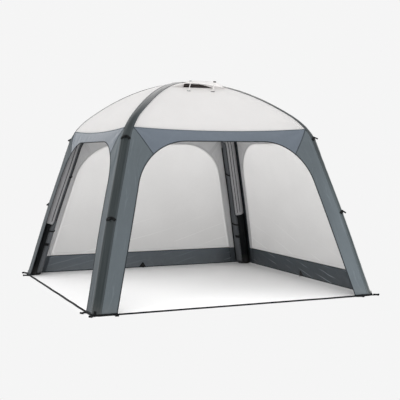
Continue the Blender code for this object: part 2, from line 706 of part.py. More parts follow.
def build_props(look):
    """The two flat props that hold the hood's front edge up."""
    for hand, sign in (("left", -1.0), ("right", 1.0)):
        centre = sign * PROP_OFFSET
        corners = [(centre - 0.5 * PROP_THICK, PROP_FRONT), (centre + 0.5 * PROP_THICK, PROP_FRONT),
                   (centre + 0.5 * PROP_THICK, PROP_FRONT - PROP_WIDTH),
                   (centre - 0.5 * PROP_THICK, PROP_FRONT - PROP_WIDTH)]
        feet = [(x + PROP_LEAN[0], y + PROP_LEAN[1]) for x, y in corners]
        low = [(x, -y, float(roof_height(x, y)) + ROOF_SEAT) for x, y in feet]
        high = [(x, -y, float(hood_underside(x, y)) - ROOF_SEAT) for x, y in corners]
        points, faces = prism(low, high)
        add_object("vent_prop_" + hand, points, faces, look)


def build_crown_patch(look):
    """The patch of cloth over the crown, where the sleeves and the roof panels end."""
    plateau = CROWN_CLOTH_END * math.sqrt(2.0) + PATCH_OVERLAP
    top = ridge_height(CROWN_CLOTH_END) + SKIN_RADIUS + PATCH_SEAT
    angles = np.arange(PATCH_SIDES) * 2.0 * math.pi / PATCH_SIDES
    points = []
    for lift in (HOOD_CLOTH, 0.0):
        points.append((0.0, 0.0, top + lift))
        for radius, drop in ((plateau, 0.0), (plateau + PATCH_RIM, PATCH_FALL)):
            points += [(radius * math.cos(a), radius * math.sin(a), top + lift - drop) for a in angles]
    half = len(points) // 2
    faces = []
    for side in range(PATCH_SIDES):
        near = 1 + side
        near_next = 1 + (side + 1) % PATCH_SIDES
        far = near + PATCH_SIDES
        far_next = near_next + PATCH_SIDES
        faces.append((0, near, near_next))
        faces.append((near, far, far_next, near_next))
        faces.append((half, half + near_next, half + near))
        faces.append((half + near, half + near_next, half + far_next, half + far))
        faces.append((far, half + far, half + far_next, far_next))
    add_object("crown_patch", points, faces, look)


def main():
    """Build every piece."""
    clear_scene()
    slate = material("slate_cloth", (0.17, 0.20, 0.23), 0.75)
    charcoal = material("charcoal_cloth", (0.07, 0.08, 0.09), 0.75)
    roof = material("roof_cloth", (0.80, 0.80, 0.79), 0.7)
    wall = material("wall_cloth", (0.62, 0.62, 0.63), 0.7)
    sleeve = material("beam_cloth", (0.45, 0.46, 0.48), 0.7)
    webbing = material("black_webbing", (0.02, 0.02, 0.02), 0.8)
    build_beams(sleeve)
    build_sleeves(charcoal)
    build_hub(sleeve)
    build_roof_panels(roof, build_vent_cutter())
    build_wings(slate)
    build_eave_bands(slate)
    build_walls(wall, charcoal)
    build_peg_tabs(webbing)
    build_sills(webbing)
    build_boots(webbing)
    build_flaps(charcoal)
    build_straps(webbing)
    build_hems(webbing)
    build_vent_mesh(charcoal)
    build_hood(roof)
    build_props(roof)
    build_crown_patch(roof)


main()
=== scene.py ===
"""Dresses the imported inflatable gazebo: air beams, stretched cloth, zips, webbing, vent and studio light.

Metres, +Z up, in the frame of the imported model. The front faces -Y and the open left side -X.
Pieces of a side are worked out on the front, and pieces of a corner on the back right corner. A quarter
turn about Z then takes them to their own side or corner.
"""

import functools
import math

import bpy
import numpy as np
from bpy.props import FloatProperty, FloatVectorProperty, PointerProperty
from bpy.types import Operator, Panel, PropertyGroup
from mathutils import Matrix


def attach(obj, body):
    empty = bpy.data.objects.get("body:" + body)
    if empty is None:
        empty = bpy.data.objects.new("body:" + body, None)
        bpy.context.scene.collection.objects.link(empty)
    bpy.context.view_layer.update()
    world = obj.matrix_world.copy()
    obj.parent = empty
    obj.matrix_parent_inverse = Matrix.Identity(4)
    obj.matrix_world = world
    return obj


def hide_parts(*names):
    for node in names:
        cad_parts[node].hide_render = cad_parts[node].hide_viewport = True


bl_info = {
    "name": "Inflatable gazebo",
    "version": (1, 0, 0),
    "blender": (4, 5, 0),
    "location": "View3D > Sidebar > Gazebo",
    "description": "Dresses an inflatable gazebo with cloth, zips, webbing, a roof vent and studio light",
    "category": "Object",
}

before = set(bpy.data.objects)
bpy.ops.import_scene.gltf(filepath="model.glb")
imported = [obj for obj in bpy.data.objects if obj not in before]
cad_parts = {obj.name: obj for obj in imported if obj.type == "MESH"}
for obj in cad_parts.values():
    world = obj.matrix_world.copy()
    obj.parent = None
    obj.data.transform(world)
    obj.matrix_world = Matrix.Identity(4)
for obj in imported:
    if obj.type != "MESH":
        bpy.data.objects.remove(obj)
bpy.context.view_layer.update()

# The skeleton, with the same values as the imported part
FOOT_AXIS = 1.439
LEG_LEAN = 0.266
CROWN_AXIS = 2.205
RIDGE_DROP = 0.5215
BEND_BELOW = 0.14
BEND_END = 0.85
BEAM_RADIUS = 0.074
SKIN_RADIUS = 0.0788
HUB_EDGE = 0.078
HUB_HALF = 0.109
CROWN_CLOTH_END = 0.085
SLEEVE_LEAST = math.radians(29.0)
ARCH_TOP = 1.606
ARCH_FOOT = 1.290
ARCH_LEAN = 0.270
ARCH_RADIUS = 0.56
ARCH_SEAM = math.radians(50.0)
SKIRT_HEIGHT = 0.215
BOOT_TOP = 0.69
VENT_CENTRE = -0.02
VENT_DEPTHS = (0.425, 0.215)
VENT_HALVES = (0.185, 0.09)
HOOD_COLUMNS = (0.0, 0.60, 1.0)
HOOD_TIPS = (0.0, 0.155, 0.335)
HOOD_LIFT = 0.101
STRAP_HEIGHTS = {"mid": 0.85, "upper": 1.615}
STRAP_DROP = 0.018
STRAP_REACH = math.radians(37.0)
FLOOR_STRAPS = {"front": 0.038, "left": 0.023}
BOOT_REACH = 0.0038
FLAP_REACH = 0.0046
FLAP_OVER_BOOT = 0.0040
WING_FACING_AND_SHADE = 0.089
POST_LEVELS = (0.0, 0.45, 0.9)

# Angle in degrees, reach and width of the two zips on a beam, at the even and at the odd corners
BEAM_ZIPS = (((197.0, 0.0006, 0.007), (224.0, 0.0006, 0.007)),
             ((137.0, 0.0006, 0.007), (188.0, 0.0062, 0.024)))
# Height and width of the ties across the strips beside the beams, and the column of the strip's grid
# before which each tie ends
TIES = ((0.40, 0.034, 9), (0.565, 0.015, -1), (1.226, 0.015, -1))
# Degrees that a strip beside a beam starts further round, and those that it adds over the boot
FLAP_WRAP = {"back_left": (26.0, 24.0), "back_right": (0.0, 15.0)}

# The studio: brightness of the backdrop, of the surround's light, of the key and of the light painted onto
# the floor as a glow
BACKDROP = 0.914
SURROUND = 1.2
KEY_LIGHT = 0.6
FLOOR_PAINTED_LIGHT = 0.17
FLOOR_REACH = 300.0

# The camera of the photo: place, tilt and heading in degrees, and lens in millimetres
CAMERA_PLACE = (-3.569, -8.867, 1.471)
CAMERA_TILT = 86.93
CAMERA_HEADING = -22.91
CAMERA_LENS = 75.68

# Stitches of a hem, and threads of the insect mesh, for each metre
STITCHES = 240.0
MESH_THREADS = 620.0

# Fineness of the surfaces
LEG_ROWS = 96
BEND_ROWS = 32
RIDGE_ROWS = 80
EAVE_ROW = LEG_ROWS + BEND_ROWS // 2

ROOT2 = math.sqrt(2.0)
UP = np.array([0.0, 0.0, 1.0])
CORNERS = {"back_right": 0, "back_left": 1, "front_left": 2, "front_right": 3}
SIDES = {"front": 0, "right": 1, "back": 2, "left": 3}
SIDE_ENDS = {"front": ("left", "right"), "right": ("front", "back"),
             "back": ("right", "left"), "left": ("back", "front")}
CLOSED = ("back", "right")


def length_property(name, text, default):
    """A size in metres for the sidebar."""
    return FloatProperty(name=name, description=text, default=default, unit="LENGTH", subtype="DISTANCE")


def colour_property(name, text, default):
    """A colour for the sidebar."""
    return FloatVectorProperty(name=name, description=text, default=default, min=0.0, max=1.0,
                               subtype="COLOR")


class GazeboSizes(PropertyGroup):
    """Sizes of the cloth and its trim."""
    leg_bow: length_property("Leg bow", "How far each leg bows outwards halfway up", 0.0095)
    eave_sag: length_property("Eave sag", "How much lower the eave hangs in mid side", 0.032)
    cloth: length_property("Cloth thickness", "Thickness of the sewn cloth with its coating", 0.0012)
    fold_depth: length_property("Fold depth", "Depth of the soft folds in the slate cloth", 0.0026)
    binding: length_property("Binding width", "Width of the dark binding along the doorway arches", 0.010)
    piping: length_property("Piping width", "Width of the dark piping along the eave and the seams", 0.006)
    facing: length_property("Door facing", "How far the doorway's facing turns inwards", 0.042)
    lap: length_property("Ridge lap", "How far a ridge strip laps over each roof panel", 0.009)
    webbing: length_property("Webbing width", "Width of the guy webbing", 0.028)


class GazeboColours(PropertyGroup):
    """Colours of the cloth and its trim, in linear light."""
    roof: colour_property("Roof cloth", "Pale coated cloth of roof and vent hood", (0.835, 0.825, 0.82))
    wall: colour_property("Wall cloth", "Light cloth of the two zip-in walls", (0.965, 0.96, 0.955))
    slate: colour_property("Slate cloth", "Blue-grey cloth of the wings", (0.110, 0.130, 0.143))
    band: colour_property("Band cloth", "Blue-grey cloth of the eave bands", (0.138, 0.162, 0.193))
    lining: colour_property("Slate lining", "Paler inner face of the slate cloth", (0.75, 0.75, 0.755))
    skirt: colour_property("Skirt cloth", "Dark cloth of the skirts", (0.134, 0.152, 0.168))
    charcoal: colour_property("Charcoal cloth", "Strips over the beams", (0.024, 0.031, 0.033))
    sleeve: colour_property("Beam cloth", "Grey cloth around the air beams", (0.38, 0.38, 0.39))
    trim: colour_property("Dark binding", "Binding of doorways, piping and seams", (0.020, 0.024, 0.027))
    webbing: colour_property("Black webbing", "Webbing, zips and boots", (0.004, 0.0046, 0.0052))


def sizes():
    """The sizes set in the sidebar."""
    return bpy.context.scene.gazebo_sizes


# Small sums that many pieces share


def row(low, high, count):
    """Evenly spaced values as one row of a grid."""
    return np.linspace(low, high, count)[None, :]


def column(low, high, count):
    """Evenly spaced values as one column of a grid."""
    return np.linspace(low, high, count)[:, None]


def place(x, y, z):
    """Points from three coordinates, which spread to one shape."""
    return np.stack(np.broadcast_arrays(x, y, z), axis=-1)


def between(first, second, share):
    """Values from the first, at share 0, to the second, at share 1."""
    return first * (1.0 - share) + second * share


def looked_up(at, keys, table):
    """Each column of a table read between its rows, where the keys have the given values."""
    return np.stack([np.interp(at, keys, values) for values in table.T], axis=-1)


def unit(vectors):
    """Vectors scaled to length one."""
    return vectors / np.maximum(np.linalg.norm(vectors, axis=-1, keepdims=True), 1e-12)


def smooth(value):
    """0 below 0, 1 above 1, and a smooth cubic between."""
    value = np.clip(value, 0.0, 1.0)
    return value * value * (3.0 - 2.0 * value)


def turned(points, quarters):
    """Points turned about Z by quarter turns, without rounding."""
    x, y, z = points[..., 0], points[..., 1], points[..., 2]
    x, y = ((x, y), (-y, x), (-x, -y), (y, -x))[quarters % 4]
    return np.stack([x, y, z], axis=-1)


# Curves of the skeleton


def ridge_height(offset):
    """Height of the ridge, a parabola of the offset along x and y."""
    return CROWN_AXIS - RIDGE_DROP * offset ** 2


@functools.lru_cache(maxsize=None)
def beam_path(bow):
    """Offset, height, slope and travelled length of a beam's centreline, foot to crown.

    The leg is a straight line pushed outwards by a raised cosine of its height. The bend at the eave is
    a quadratic Bezier curve and the ridge a parabola. The slope is measured from the horizontal in the
    vertical plane of the diagonal.
    """
    steep = 1.0 / LEG_LEAN
    rest = FOOT_AXIS / LEG_LEAN - CROWN_AXIS
    corner = (steep - math.sqrt(steep ** 2 - 4.0 * RIDGE_DROP * rest)) / (2.0 * RIDGE_DROP)
    start = (FOOT_AXIS - corner) / LEG_LEAN - BEND_BELOW
    end = ridge_height(BEND_END)
    fall = -2.0 * RIDGE_DROP * BEND_END
    turn = (end + fall * (FOOT_AXIS - BEND_END)) / (1.0 + fall * LEG_LEAN)
    height = np.linspace(0.0, start, LEG_ROWS, endpoint=False)
    phase = 2.0 * math.pi * height / start
    leg = np.stack([FOOT_AXIS - LEG_LEAN * height + bow * (0.5 - 0.5 * np.cos(phase)), height,
                    bow * math.pi / start * np.sin(phase) - LEG_LEAN, np.ones(LEG_ROWS)], axis=1)
    knots = np.array([[FOOT_AXIS - LEG_LEAN * start, start], [FOOT_AXIS - LEG_LEAN * turn, turn],
                      [BEND_END, end]])
    share = np.linspace(0.0, 1.0, BEND_ROWS, endpoint=False)[:, None]
    first, second = between(knots[0], knots[1], share), between(knots[1], knots[2], share)
    bend = np.hstack([between(first, second, share), second - first])
    offset = np.linspace(BEND_END, CROWN_CLOTH_END, RIDGE_ROWS)
    ridge = np.stack([offset, ridge_height(offset), -np.ones(RIDGE_ROWS), 2.0 * RIDGE_DROP * offset],
                     axis=1)
    table = np.vstack([leg, bend, ridge])
    slope = np.arctan2(table[:, 3], -table[:, 2] * ROOT2)
    step = np.hypot(np.diff(table[:, 0]) * ROOT2, np.diff(table[:, 1]))
    return np.stack([table[:, 0], table[:, 1], slope, np.append(0.0, np.cumsum(step))], axis=1)


def path():
    """The beam path with the bow set in the sidebar."""
    return beam_path(sizes().leg_bow)


def axis_of(rows):
    """Points of the centreline itself."""
    return rows[:, [0, 0, 1]]


def around(rows, radius, angle):
    """Points beside the centreline: angle 0 is outwards in the diagonal plane, + is towards +Y.

    The section plane is square to the path. Near the floor the points slide along the leg, so that the
    ring at the floor lies flat.
    """
    offset, height, slope = (rows[:, index][:, None] for index in range(3))
    out = np.sin(slope) * np.cos(angle)
    side = np.sin(angle)
    rise = radius * np.cos(slope) * np.cos(angle)
    slide = rise * np.clip(1.0 - height / 0.12, 0.0, 1.0)
    x, y = (offset + LEG_LEAN * slide + radius * (out + turn) / ROOT2 for turn in (-side, side))
    return place(x, y, height + rise - slide)


def leave_angle(rows):
    """Angle on the beam where a panel with level threads along x leaves it, for each row."""
    return np.arctan(np.sin(rows[:, 2:3]))


def leave_line():
    """Half width, depth and height of the line where a side's cloth leaves the beam, floor to eave."""
    rows = path()[:EAVE_ROW + 1]
    return around(rows, SKIN_RADIUS, leave_angle(rows))[:, 0]


def side_points(x, height, lowered=0.0, inward=0.0):
    """Points on the front side's outer surface, from x and height, moved inward if asked."""
    line = leave_line()
    return place(x, inward - np.interp(height, line[:, 2], line[:, 1]), height - lowered)


def side_normals(points):
    """Outward unit normals of the front side's surface at points on it."""
    line = leave_line()
    run, rise = np.gradient(line[:, 1:], axis=0).T
    slope = np.interp(points[..., 2], line[:, 2], np.arctan2(-run, rise))
    return place(0.0, -np.cos(slope), np.sin(slope))


def post_x(height):
    """Half width of the doorway at a height on its straight post."""
    return ARCH_FOOT - ARCH_LEAN * height


def arch_point(angle):
    """x and height on the doorway's round corner, from the angle above the level."""
    height = ARCH_TOP - ARCH_RADIUS
    x = post_x(height) - ARCH_RADIUS * math.hypot(1.0, ARCH_LEAN)
    return np.stack([x + ARCH_RADIUS * np.cos(angle), height + ARCH_RADIUS * np.sin(angle)], axis=-1)


def door_edge(step):
    """x and height on the doorway's edge: the post from 0 to 3, and the arc up to the seam at 8."""
    post_angle = math.atan(ARCH_LEAN)
    height = np.interp(step, np.arange(4), POST_LEVELS + (arch_point(post_angle)[1],))
    arc = arch_point(between(post_angle, ARCH_SEAM, (np.maximum(step, 3.0) - 3.0) / 5.0))
    return np.where(step[:, None] < 3.0, np.stack([post_x(height), height], axis=-1), arc)


def arch_top_edge(count):
    """x and height along the top of the doorway, from the right corner seam to the left one."""
    right = arch_point(np.linspace(ARCH_SEAM, math.pi / 2.0, count))
    flat_x = np.linspace(right[-1, 0], -right[-1, 0], count + 2)[1:-1]
    flat = np.stack([flat_x, np.full(count, ARCH_TOP)], axis=-1)
    return np.concatenate([right, flat, right[::-1] * (-1.0, 1.0)])


def roof_lines():
    """Half width, depth and height of the roof panel's edge, from the eave to the crown."""
    rows = path()[EAVE_ROW:]
    return around(rows, SKIN_RADIUS, np.maximum(leave_angle(rows), SLEEVE_LEAST))[:, 0]


def roof_sag(height):
    """How much lower the middle of a roof panel hangs, in proportion to the drop from the crown."""
    eave = leave_line()[-1, 2]
    return sizes().eave_sag * np.clip((CROWN_AXIS - height) / (CROWN_AXIS - eave), 0.0, 1.0)


def roof_height(x, depth):
    """Height of the front roof panel's outer surface."""
    line = roof_lines()[::-1]
    width = np.interp(depth, line[:, 1], line[:, 0])
    height = np.interp(depth, line[:, 1], line[:, 2])
    return height - roof_sag(height) * (1.0 - np.clip(np.abs(x) / width, 0.0, 1.0) ** 2)


def boot_top(corner):
    """Height of a boot's upper edge; the back left one has slipped down a little."""
    return BOOT_TOP - 0.042 * (corner == "back_left")


# Folds and creases, as heights over a sheet


def ripples(u, v, seed, wavelength, heading=0.0, spread=0.3, waves=14):
    """Soft folds between about -1 and 1: a sum of sine waves whose headings lie near one heading."""
    random = np.random.default_rng(seed)
    turn = heading + spread * random.normal(size=waves)
    number = 2.0 * math.pi / (wavelength * random.uniform(0.6, 1.8, waves))
    phase = random.uniform(0.0, 2.0 * math.pi, waves)
    total = sum(np.sin(n * (u * math.cos(t) + v * math.sin(t)) + p) for n, t, p in zip(number, turn, phase))
    return total / math.sqrt(2.0 * waves)


def creases(u, v, seed, wavelength, heading):
    """Thin raised creases: one minus the size of the ripples, to a power, so only their zeros stand up."""
    return (1.0 - np.minimum(np.abs(ripples(u, v, seed, wavelength, heading, 0.2)), 1.0)) ** 6.0


def fan(u, v, centre, seed, pleats, reach):
    """Tension folds that run out from a corner: waves of the angle about it, dying away with distance."""
    du, dv = u - centre[0], v - centre[1]
    distance = np.hypot(du, dv)
    phase = np.random.default_rng(seed).uniform(0.0, 6.3)
    near = smooth(distance / (0.25 * reach)) * np.exp(-distance / reach)
    return near * np.sin(pleats * np.arctan2(dv, du) + phase)


def two_fans(u, v, centre, seed, pleats, reach):
    """The tension folds of a corner and of its mirror image."""
    return sum(fan(u, v, (sign * centre[0], centre[1]), seed, pleats, reach) for sign in (-1.0, 1.0))


# Meshes from grids


def travelled(points, axis):
    """Length travelled along one axis of a grid of points."""
    step = np.linalg.norm(np.diff(points, axis=axis), axis=-1)
    start = np.zeros_like(np.take(step, [0], axis=axis))
    return np.concatenate([start, np.cumsum(step, axis=axis)], axis=axis)


def grid_normals(points):
    """Unit normals of a grid: the cross product of its two directions of travel."""
    return unit(np.cross(np.gradient(points, axis=1), np.gradient(points, axis=0)))


def grid_part(points, closed=False):
    """Points, quads and corner UVs in metres of a grid, whose last column may join its first."""
    rows, columns = points.shape[:2]
    whole = np.concatenate([points, points[:, :1]], axis=1) if closed else points
    down, over = np.meshgrid(np.arange(rows - 1), np.arange(whole.shape[1] - 1), indexing="ij")
    at_row = np.stack([down, down, down + 1, down + 1], axis=-1).reshape(-1, 4)
    at_column = np.stack([over, over + 1, over + 1, over], axis=-1).reshape(-1, 4)
    uv = np.stack([travelled(whole, axis)[at_row, at_column] for axis in (1, 0)], axis=-1)
    return points.reshape(-1, 3), at_row * columns + at_column % columns, uv.reshape(-1, 2)


def tube_part(rings):
    """A closed tube through rings, with a fan of triangles over each end."""
    points, quads, uv = grid_part(rings, closed=True)
    count = rings.shape[1]
    index = np.arange(count)
    after = (index + 1) % count
    last = len(points) - count
    low = np.stack([np.full(count, len(points)), after, index], axis=-1)
    high = np.stack([np.full(count, len(points) + 1), last + index, last + after], axis=-1)
    points = np.concatenate([points, rings[0].mean(axis=0)[None], rings[-1].mean(axis=0)[None]])
    cap_uv = np.tile([[0.0, 0.0], [0.002, 0.0], [0.0, 0.002]], (2 * count, 1))
    return points, quads.tolist() + low.tolist() + high.tolist(), np.concatenate([uv, cap_uv])


def joined(parts):
    """Several parts as one."""
    faces = []
    shift = 0
    for part in parts:
        faces += [[index + shift for index in face] for face in part[1]]
        shift += len(part[0])
    return np.concatenate([part[0] for part in parts]), faces, np.concatenate([part[2] for part in parts])


def bar(line, normal, width, height, base=0.0, shift=0.0, count=12, power=0.55):
    """A closed bar along a line, whose section is a rounded rectangle.

    The section is a circle whose sine and cosine are raised to a power below one. Its width lies
    sideways, with a shift, and its height runs outwards along the normal from a base.
    """
    angle = np.arange(count) * 2.0 * math.pi / count
    x, y = (np.sign(wave) * np.abs(wave) ** power for wave in (np.cos(angle), np.sin(angle)))
    sideways = (0.5 * width * x + shift)[None, :, None]
    outwards = (base + 0.5 * height * (1.0 + y))[None, :, None]
    along = unit(np.gradient(line, axis=0))
    side = unit(np.cross(normal, along))
    out = unit(np.cross(along, side))
    return tube_part(line[:, None] + side[:, None] * sideways + out[:, None] * outwards)


def side_bar(x, height, width, thick, base, lowered=0.0, shift=0.0):
    """A bar along the front side's outer surface, through points given by x and height."""
    line = side_points(x, height, lowered)
    return bar(line, side_normals(line), width, thick, base, shift)


def add_piece(name, part, look, turns=0, node=""):
    """One piece from points, faces and UVs, which rides on the gazebo and takes over its CAD node.

    The node has the piece's own name in small letters, or another one; None stands for no node.
    """
    points, faces, uv = part
    material, slot = look
    mesh = bpy.data.meshes.new(name)
    mesh.from_pydata(turned(points, turns).tolist(), [], faces)
    layer = mesh.uv_layers.new(name="Cloth")
    layer.data.foreach_set("uv", np.ascontiguousarray(uv, dtype=np.float32).ravel())
    mesh.shade_smooth()
    mesh.materials.append(material)
    mesh.validate()
    piece = bpy.data.objects.new(name, mesh)
    bpy.context.scene.collection.objects.link(piece)
    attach(piece, "root")
    if node is not None:
        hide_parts(node or name.lower())
    return piece


def lay_cloth(name, grid, look, turns=0, relief=0.0, node="", lining=None, facing=None, hole=None,
              thick=None):
    """A sheet of cloth over a grid of points, pushed out by a relief, with its two faces and its rim.

    Each point moves along the grid's normal by the relief. A float attribute holds the distance to the
    nearest edge, for the hems. The cut size is the grid's own, since the cloth is stretched over it.
    """
    across, along = travelled(grid, 1), travelled(grid, 0)
    border = np.minimum(np.minimum(across, across[:, -1:] - across), np.minimum(along, along[-1:] - along))
    normal = grid_normals(grid)
    toward = grid.mean(axis=(0, 1)) - UP if facing is None else facing
    flip = (normal * toward).sum() < 0.0
    relief = np.broadcast_to(-relief if flip else relief, grid.shape[:2])
    points, faces, uv = grid_part(grid + relief[..., None] * normal)
    uv = uv.reshape(-1, 4, 2) - (across[:, across.shape[1] // 2].mean(), 0.0)
    quads = grid.reshape(-1, 3)[faces]
    size = 0.5 * np.linalg.norm(np.cross(quads[:, 2] - quads[:, 0], quads[:, 3] - quads[:, 1]), axis=-1)
    if hole is not None:
        keep = ~hole.ravel()
        faces, uv, size = faces[keep], uv[keep], size[keep]
    if flip:
        faces, uv = faces[:, ::-1], uv[:, ::-1]
    piece = add_piece(name, (points, faces.tolist(), uv.reshape(-1, 2)), look, turns, node)
    mark = piece.data.attributes.new("border", "FLOAT", "POINT")
    mark.data.foreach_set("value", np.ascontiguousarray(border, dtype=np.float32).ravel())
    thickness = piece.modifiers.new("Cloth thickness", "SOLIDIFY")
    thickness.thickness = sizes().cloth if thick is None else thick
    thickness.offset = -1.0
    if lining is not None:
        piece.data.materials.append(lining[0])
        thickness.material_offset = 1


# Materials


class Nodes:
    """A short way to put nodes into a tree."""

    def __init__(self, tree):
        self.tree = tree

    def put(self, kind, *inputs, **settings):
        """Add a node, set its properties, and link or set its inputs in order; None leaves one alone."""
        made = self.tree.nodes.new(kind)
        for name, value in settings.items():
            setattr(made, name, value)
        for socket, value in zip(made.inputs, inputs):
            self.give(socket, value)
        return made

    def give(self, socket, value):
        """Link a socket to another one, or set its value."""
        if isinstance(value, bpy.types.NodeSocket):
            self.tree.links.new(value, socket)
        elif value is not None:
            socket.default_value = value

    def calc(self, operation, *values):
        """A Math node's result."""
        return self.put("ShaderNodeMath", *values, operation=operation).outputs[0]

    add = functools.partialmethod(calc, "ADD")
    sub = functools.partialmethod(calc, "SUBTRACT")
    mul = functools.partialmethod(calc, "MULTIPLY")
    size = functools.partialmethod(calc, "ABSOLUTE")

    def ramp(self, value, low, high, to_low=0.0, to_high=1.0, kind="SMOOTHSTEP"):
        """A smooth step between two values, or a straight one."""
        made = self.put("ShaderNodeMapRange", value, low, high, to_low, to_high, interpolation_type=kind)
        return made.outputs[0]

    def noise(self, vector, scale, detail, roughness):
        """A Noise Texture's value."""
        return self.put("ShaderNodeTexNoise", vector, None, scale, detail, roughness).outputs[0]

    def split(self, vector):
        """The x, y and z of a vector."""
        return self.put("ShaderNodeSeparateXYZ", vector).outputs[:]

    def blend(self, share, first, second, mode="MIX"):
        """A mix of two colours."""
        made = self.put("ShaderNodeMix", data_type="RGBA", blend_type=mode)
        for name, value in (("Factor_Float", share), ("A_Color", first), ("B_Color", second)):
            self.give(next(socket for socket in made.inputs if socket.identifier == name), value)
        return next(socket for socket in made.outputs if socket.identifier == "Result_Color")

    def dim(self, tone, share):
        """A colour multiplied by a value."""
        grey = self.put("ShaderNodeCombineColor", share, share, share).outputs[0]
        return self.blend(1.0, tone, grey, "MULTIPLY")

    def group(self, build, *inputs):
        """The outputs of a shared node group."""
        return self.put("ShaderNodeGroup", *inputs, node_tree=shared_tree(build)).outputs[:]

    def cloth_uv(self):
        """Each piece's own UV, in metres across and along it."""
        return self.put("ShaderNodeUVMap", uv_map="Cloth").outputs[0]

    def spot(self):
        """The object's own coordinates."""
        return self.put("ShaderNodeTexCoord").outputs["Object"]

    def bump(self, height):
        """A bump's normal, from a height in metres."""
        made = self.put("ShaderNodeBump")
        self.give(made.inputs["Distance"], 1.0)
        self.give(made.inputs["Height"], height)
        return made.outputs[0]

    def principled(self, tone, **inputs):
        """A Principled shader of a colour, with further inputs by name."""
        made = self.put("ShaderNodeBsdfPrincipled", tone)
        for name, value in inputs.items():
            self.give(made.inputs[name.replace("_", " ")], value)
        return made.outputs[0]


@functools.lru_cache(maxsize=None)
def shared_tree(build):
    """The shader node group that a build function fills; its name and sockets are in GROUPS.

    A socket named Vector is a vector, and every other one is a value.
    """
    name, *sockets = GROUPS[build]
    tree = bpy.data.node_groups.new(name, "ShaderNodeTree")
    for way, names in zip(("INPUT", "OUTPUT"), sockets):
        for socket in names:
            kind = "NodeSocketVector" if socket == "Vector" else "NodeSocketFloat"
            tree.interface.new_socket(socket, in_out=way, socket_type=kind)
    nodes = Nodes(tree)
    entry = nodes.put("NodeGroupInput")
    nodes.put("NodeGroupOutput", *build(nodes, *entry.outputs[:len(sockets[0])]))
    return tree


def plain_weave(nodes, vector, pitch):
    """The product of two sine waves across and along, in threads per metre."""
    x, y, _ = nodes.split(vector)
    turns = nodes.mul(pitch, math.pi)
    height = nodes.mul(nodes.calc("SINE", nodes.mul(x, turns)), nodes.calc("SINE", nodes.mul(y, turns)))
    return height, nodes.ramp(height, -1.0, 1.0)


def handling_creases(nodes, vector, scale, stretch):
    """A soft swell, and long thin folds where a stretched noise turns over its middle."""
    squash = nodes.put("ShaderNodeCombineXYZ", 1.0, nodes.calc("DIVIDE", 1.0, stretch), 1.0).outputs[0]
    spot = nodes.put("ShaderNodeVectorMath", vector, squash, operation="MULTIPLY").outputs[0]
    soft = nodes.noise(spot, scale, 2.0, 0.45)
    fold = nodes.size(nodes.sub(nodes.noise(spot, nodes.mul(scale, 2.3), 1.0, 0.4), 0.5))
    ridge = nodes.mul(nodes.ramp(fold, 0.10, 0.0), nodes.ramp(soft, 0.52, 0.68))
    return nodes.add(nodes.mul(soft, 2.0), nodes.mul(ridge, 0.35)), ridge


def stitched_hem(nodes, border, along, width):
    """A doubled band beside the border with a row of stitches, dashes of the length along it."""
    band = nodes.ramp(nodes.sub(border, width), 0.0008, -0.0008)
    line = nodes.size(nodes.sub(border, nodes.mul(width, 0.82)))
    dash = nodes.size(nodes.sub(nodes.calc("FRACT", nodes.mul(along, STITCHES)), 0.5))
    stitch = nodes.mul(nodes.ramp(line, 0.0011, 0.0005), nodes.ramp(dash, 0.42, 0.34))
    return band, stitch, nodes.sub(nodes.mul(band, 0.8), nodes.ramp(line, 0.004, 0.0, 0.0, 0.35))


def fading_and_dust(nodes, vector):
    """Two sizes of noise on the object's own coordinates, with dust near the floor."""
    broad = nodes.noise(vector, 2.2, 2.0, 0.5)
    small = nodes.noise(vector, 26.0, 3.0, 0.6)
    mixed = nodes.add(nodes.mul(broad, 0.7), nodes.mul(small, 0.3))
    return nodes.ramp(mixed, 0.3, 0.7), nodes.mul(nodes.ramp(nodes.split(vector)[2], 0.16, 0.0), small)


def pressed_creases(nodes, vector, slope, spacing, top):
    """Straight thin lines that climb along x and along y, and come and go in patches."""
    x, y, z = nodes.split(vector)
    rise = nodes.sub(z, nodes.mul(nodes.add(x, y), slope))
    wobble = nodes.mul(nodes.noise(vector, 0.9, 0.0, 0.4), 0.9)
    turns = nodes.add(nodes.calc("DIVIDE", rise, spacing), wobble)
    off = nodes.mul(nodes.size(nodes.sub(nodes.calc("FRACT", turns), 0.5)), spacing)
    patch = nodes.ramp(nodes.noise(vector, 2.6, 1.0, 0.4), 0.40, 0.60)
    shown = nodes.mul(patch, nodes.ramp(nodes.calc("DIVIDE", z, top), 1.0, 0.5))
    return (nodes.mul(nodes.ramp(off, 0.010, 0.0), shown),)


# Name, inputs and outputs of each shared node group
GROUPS = {
    plain_weave: ("Plain weave", ("Vector", "Pitch"), ("Height", "Shade")),
    handling_creases: ("Handling creases", ("Vector", "Scale", "Stretch"), ("Height", "Ridge")),
    stitched_hem: ("Stitched hem", ("Border", "Along", "Width"), ("Band", "Stitch", "Height")),
    fading_and_dust: ("Fading and dust", ("Vector",), ("Fade", "Dust")),
    pressed_creases: ("Pressed creases", ("Vector", "Slope", "Spacing", "Top"), ("Line",)),
}

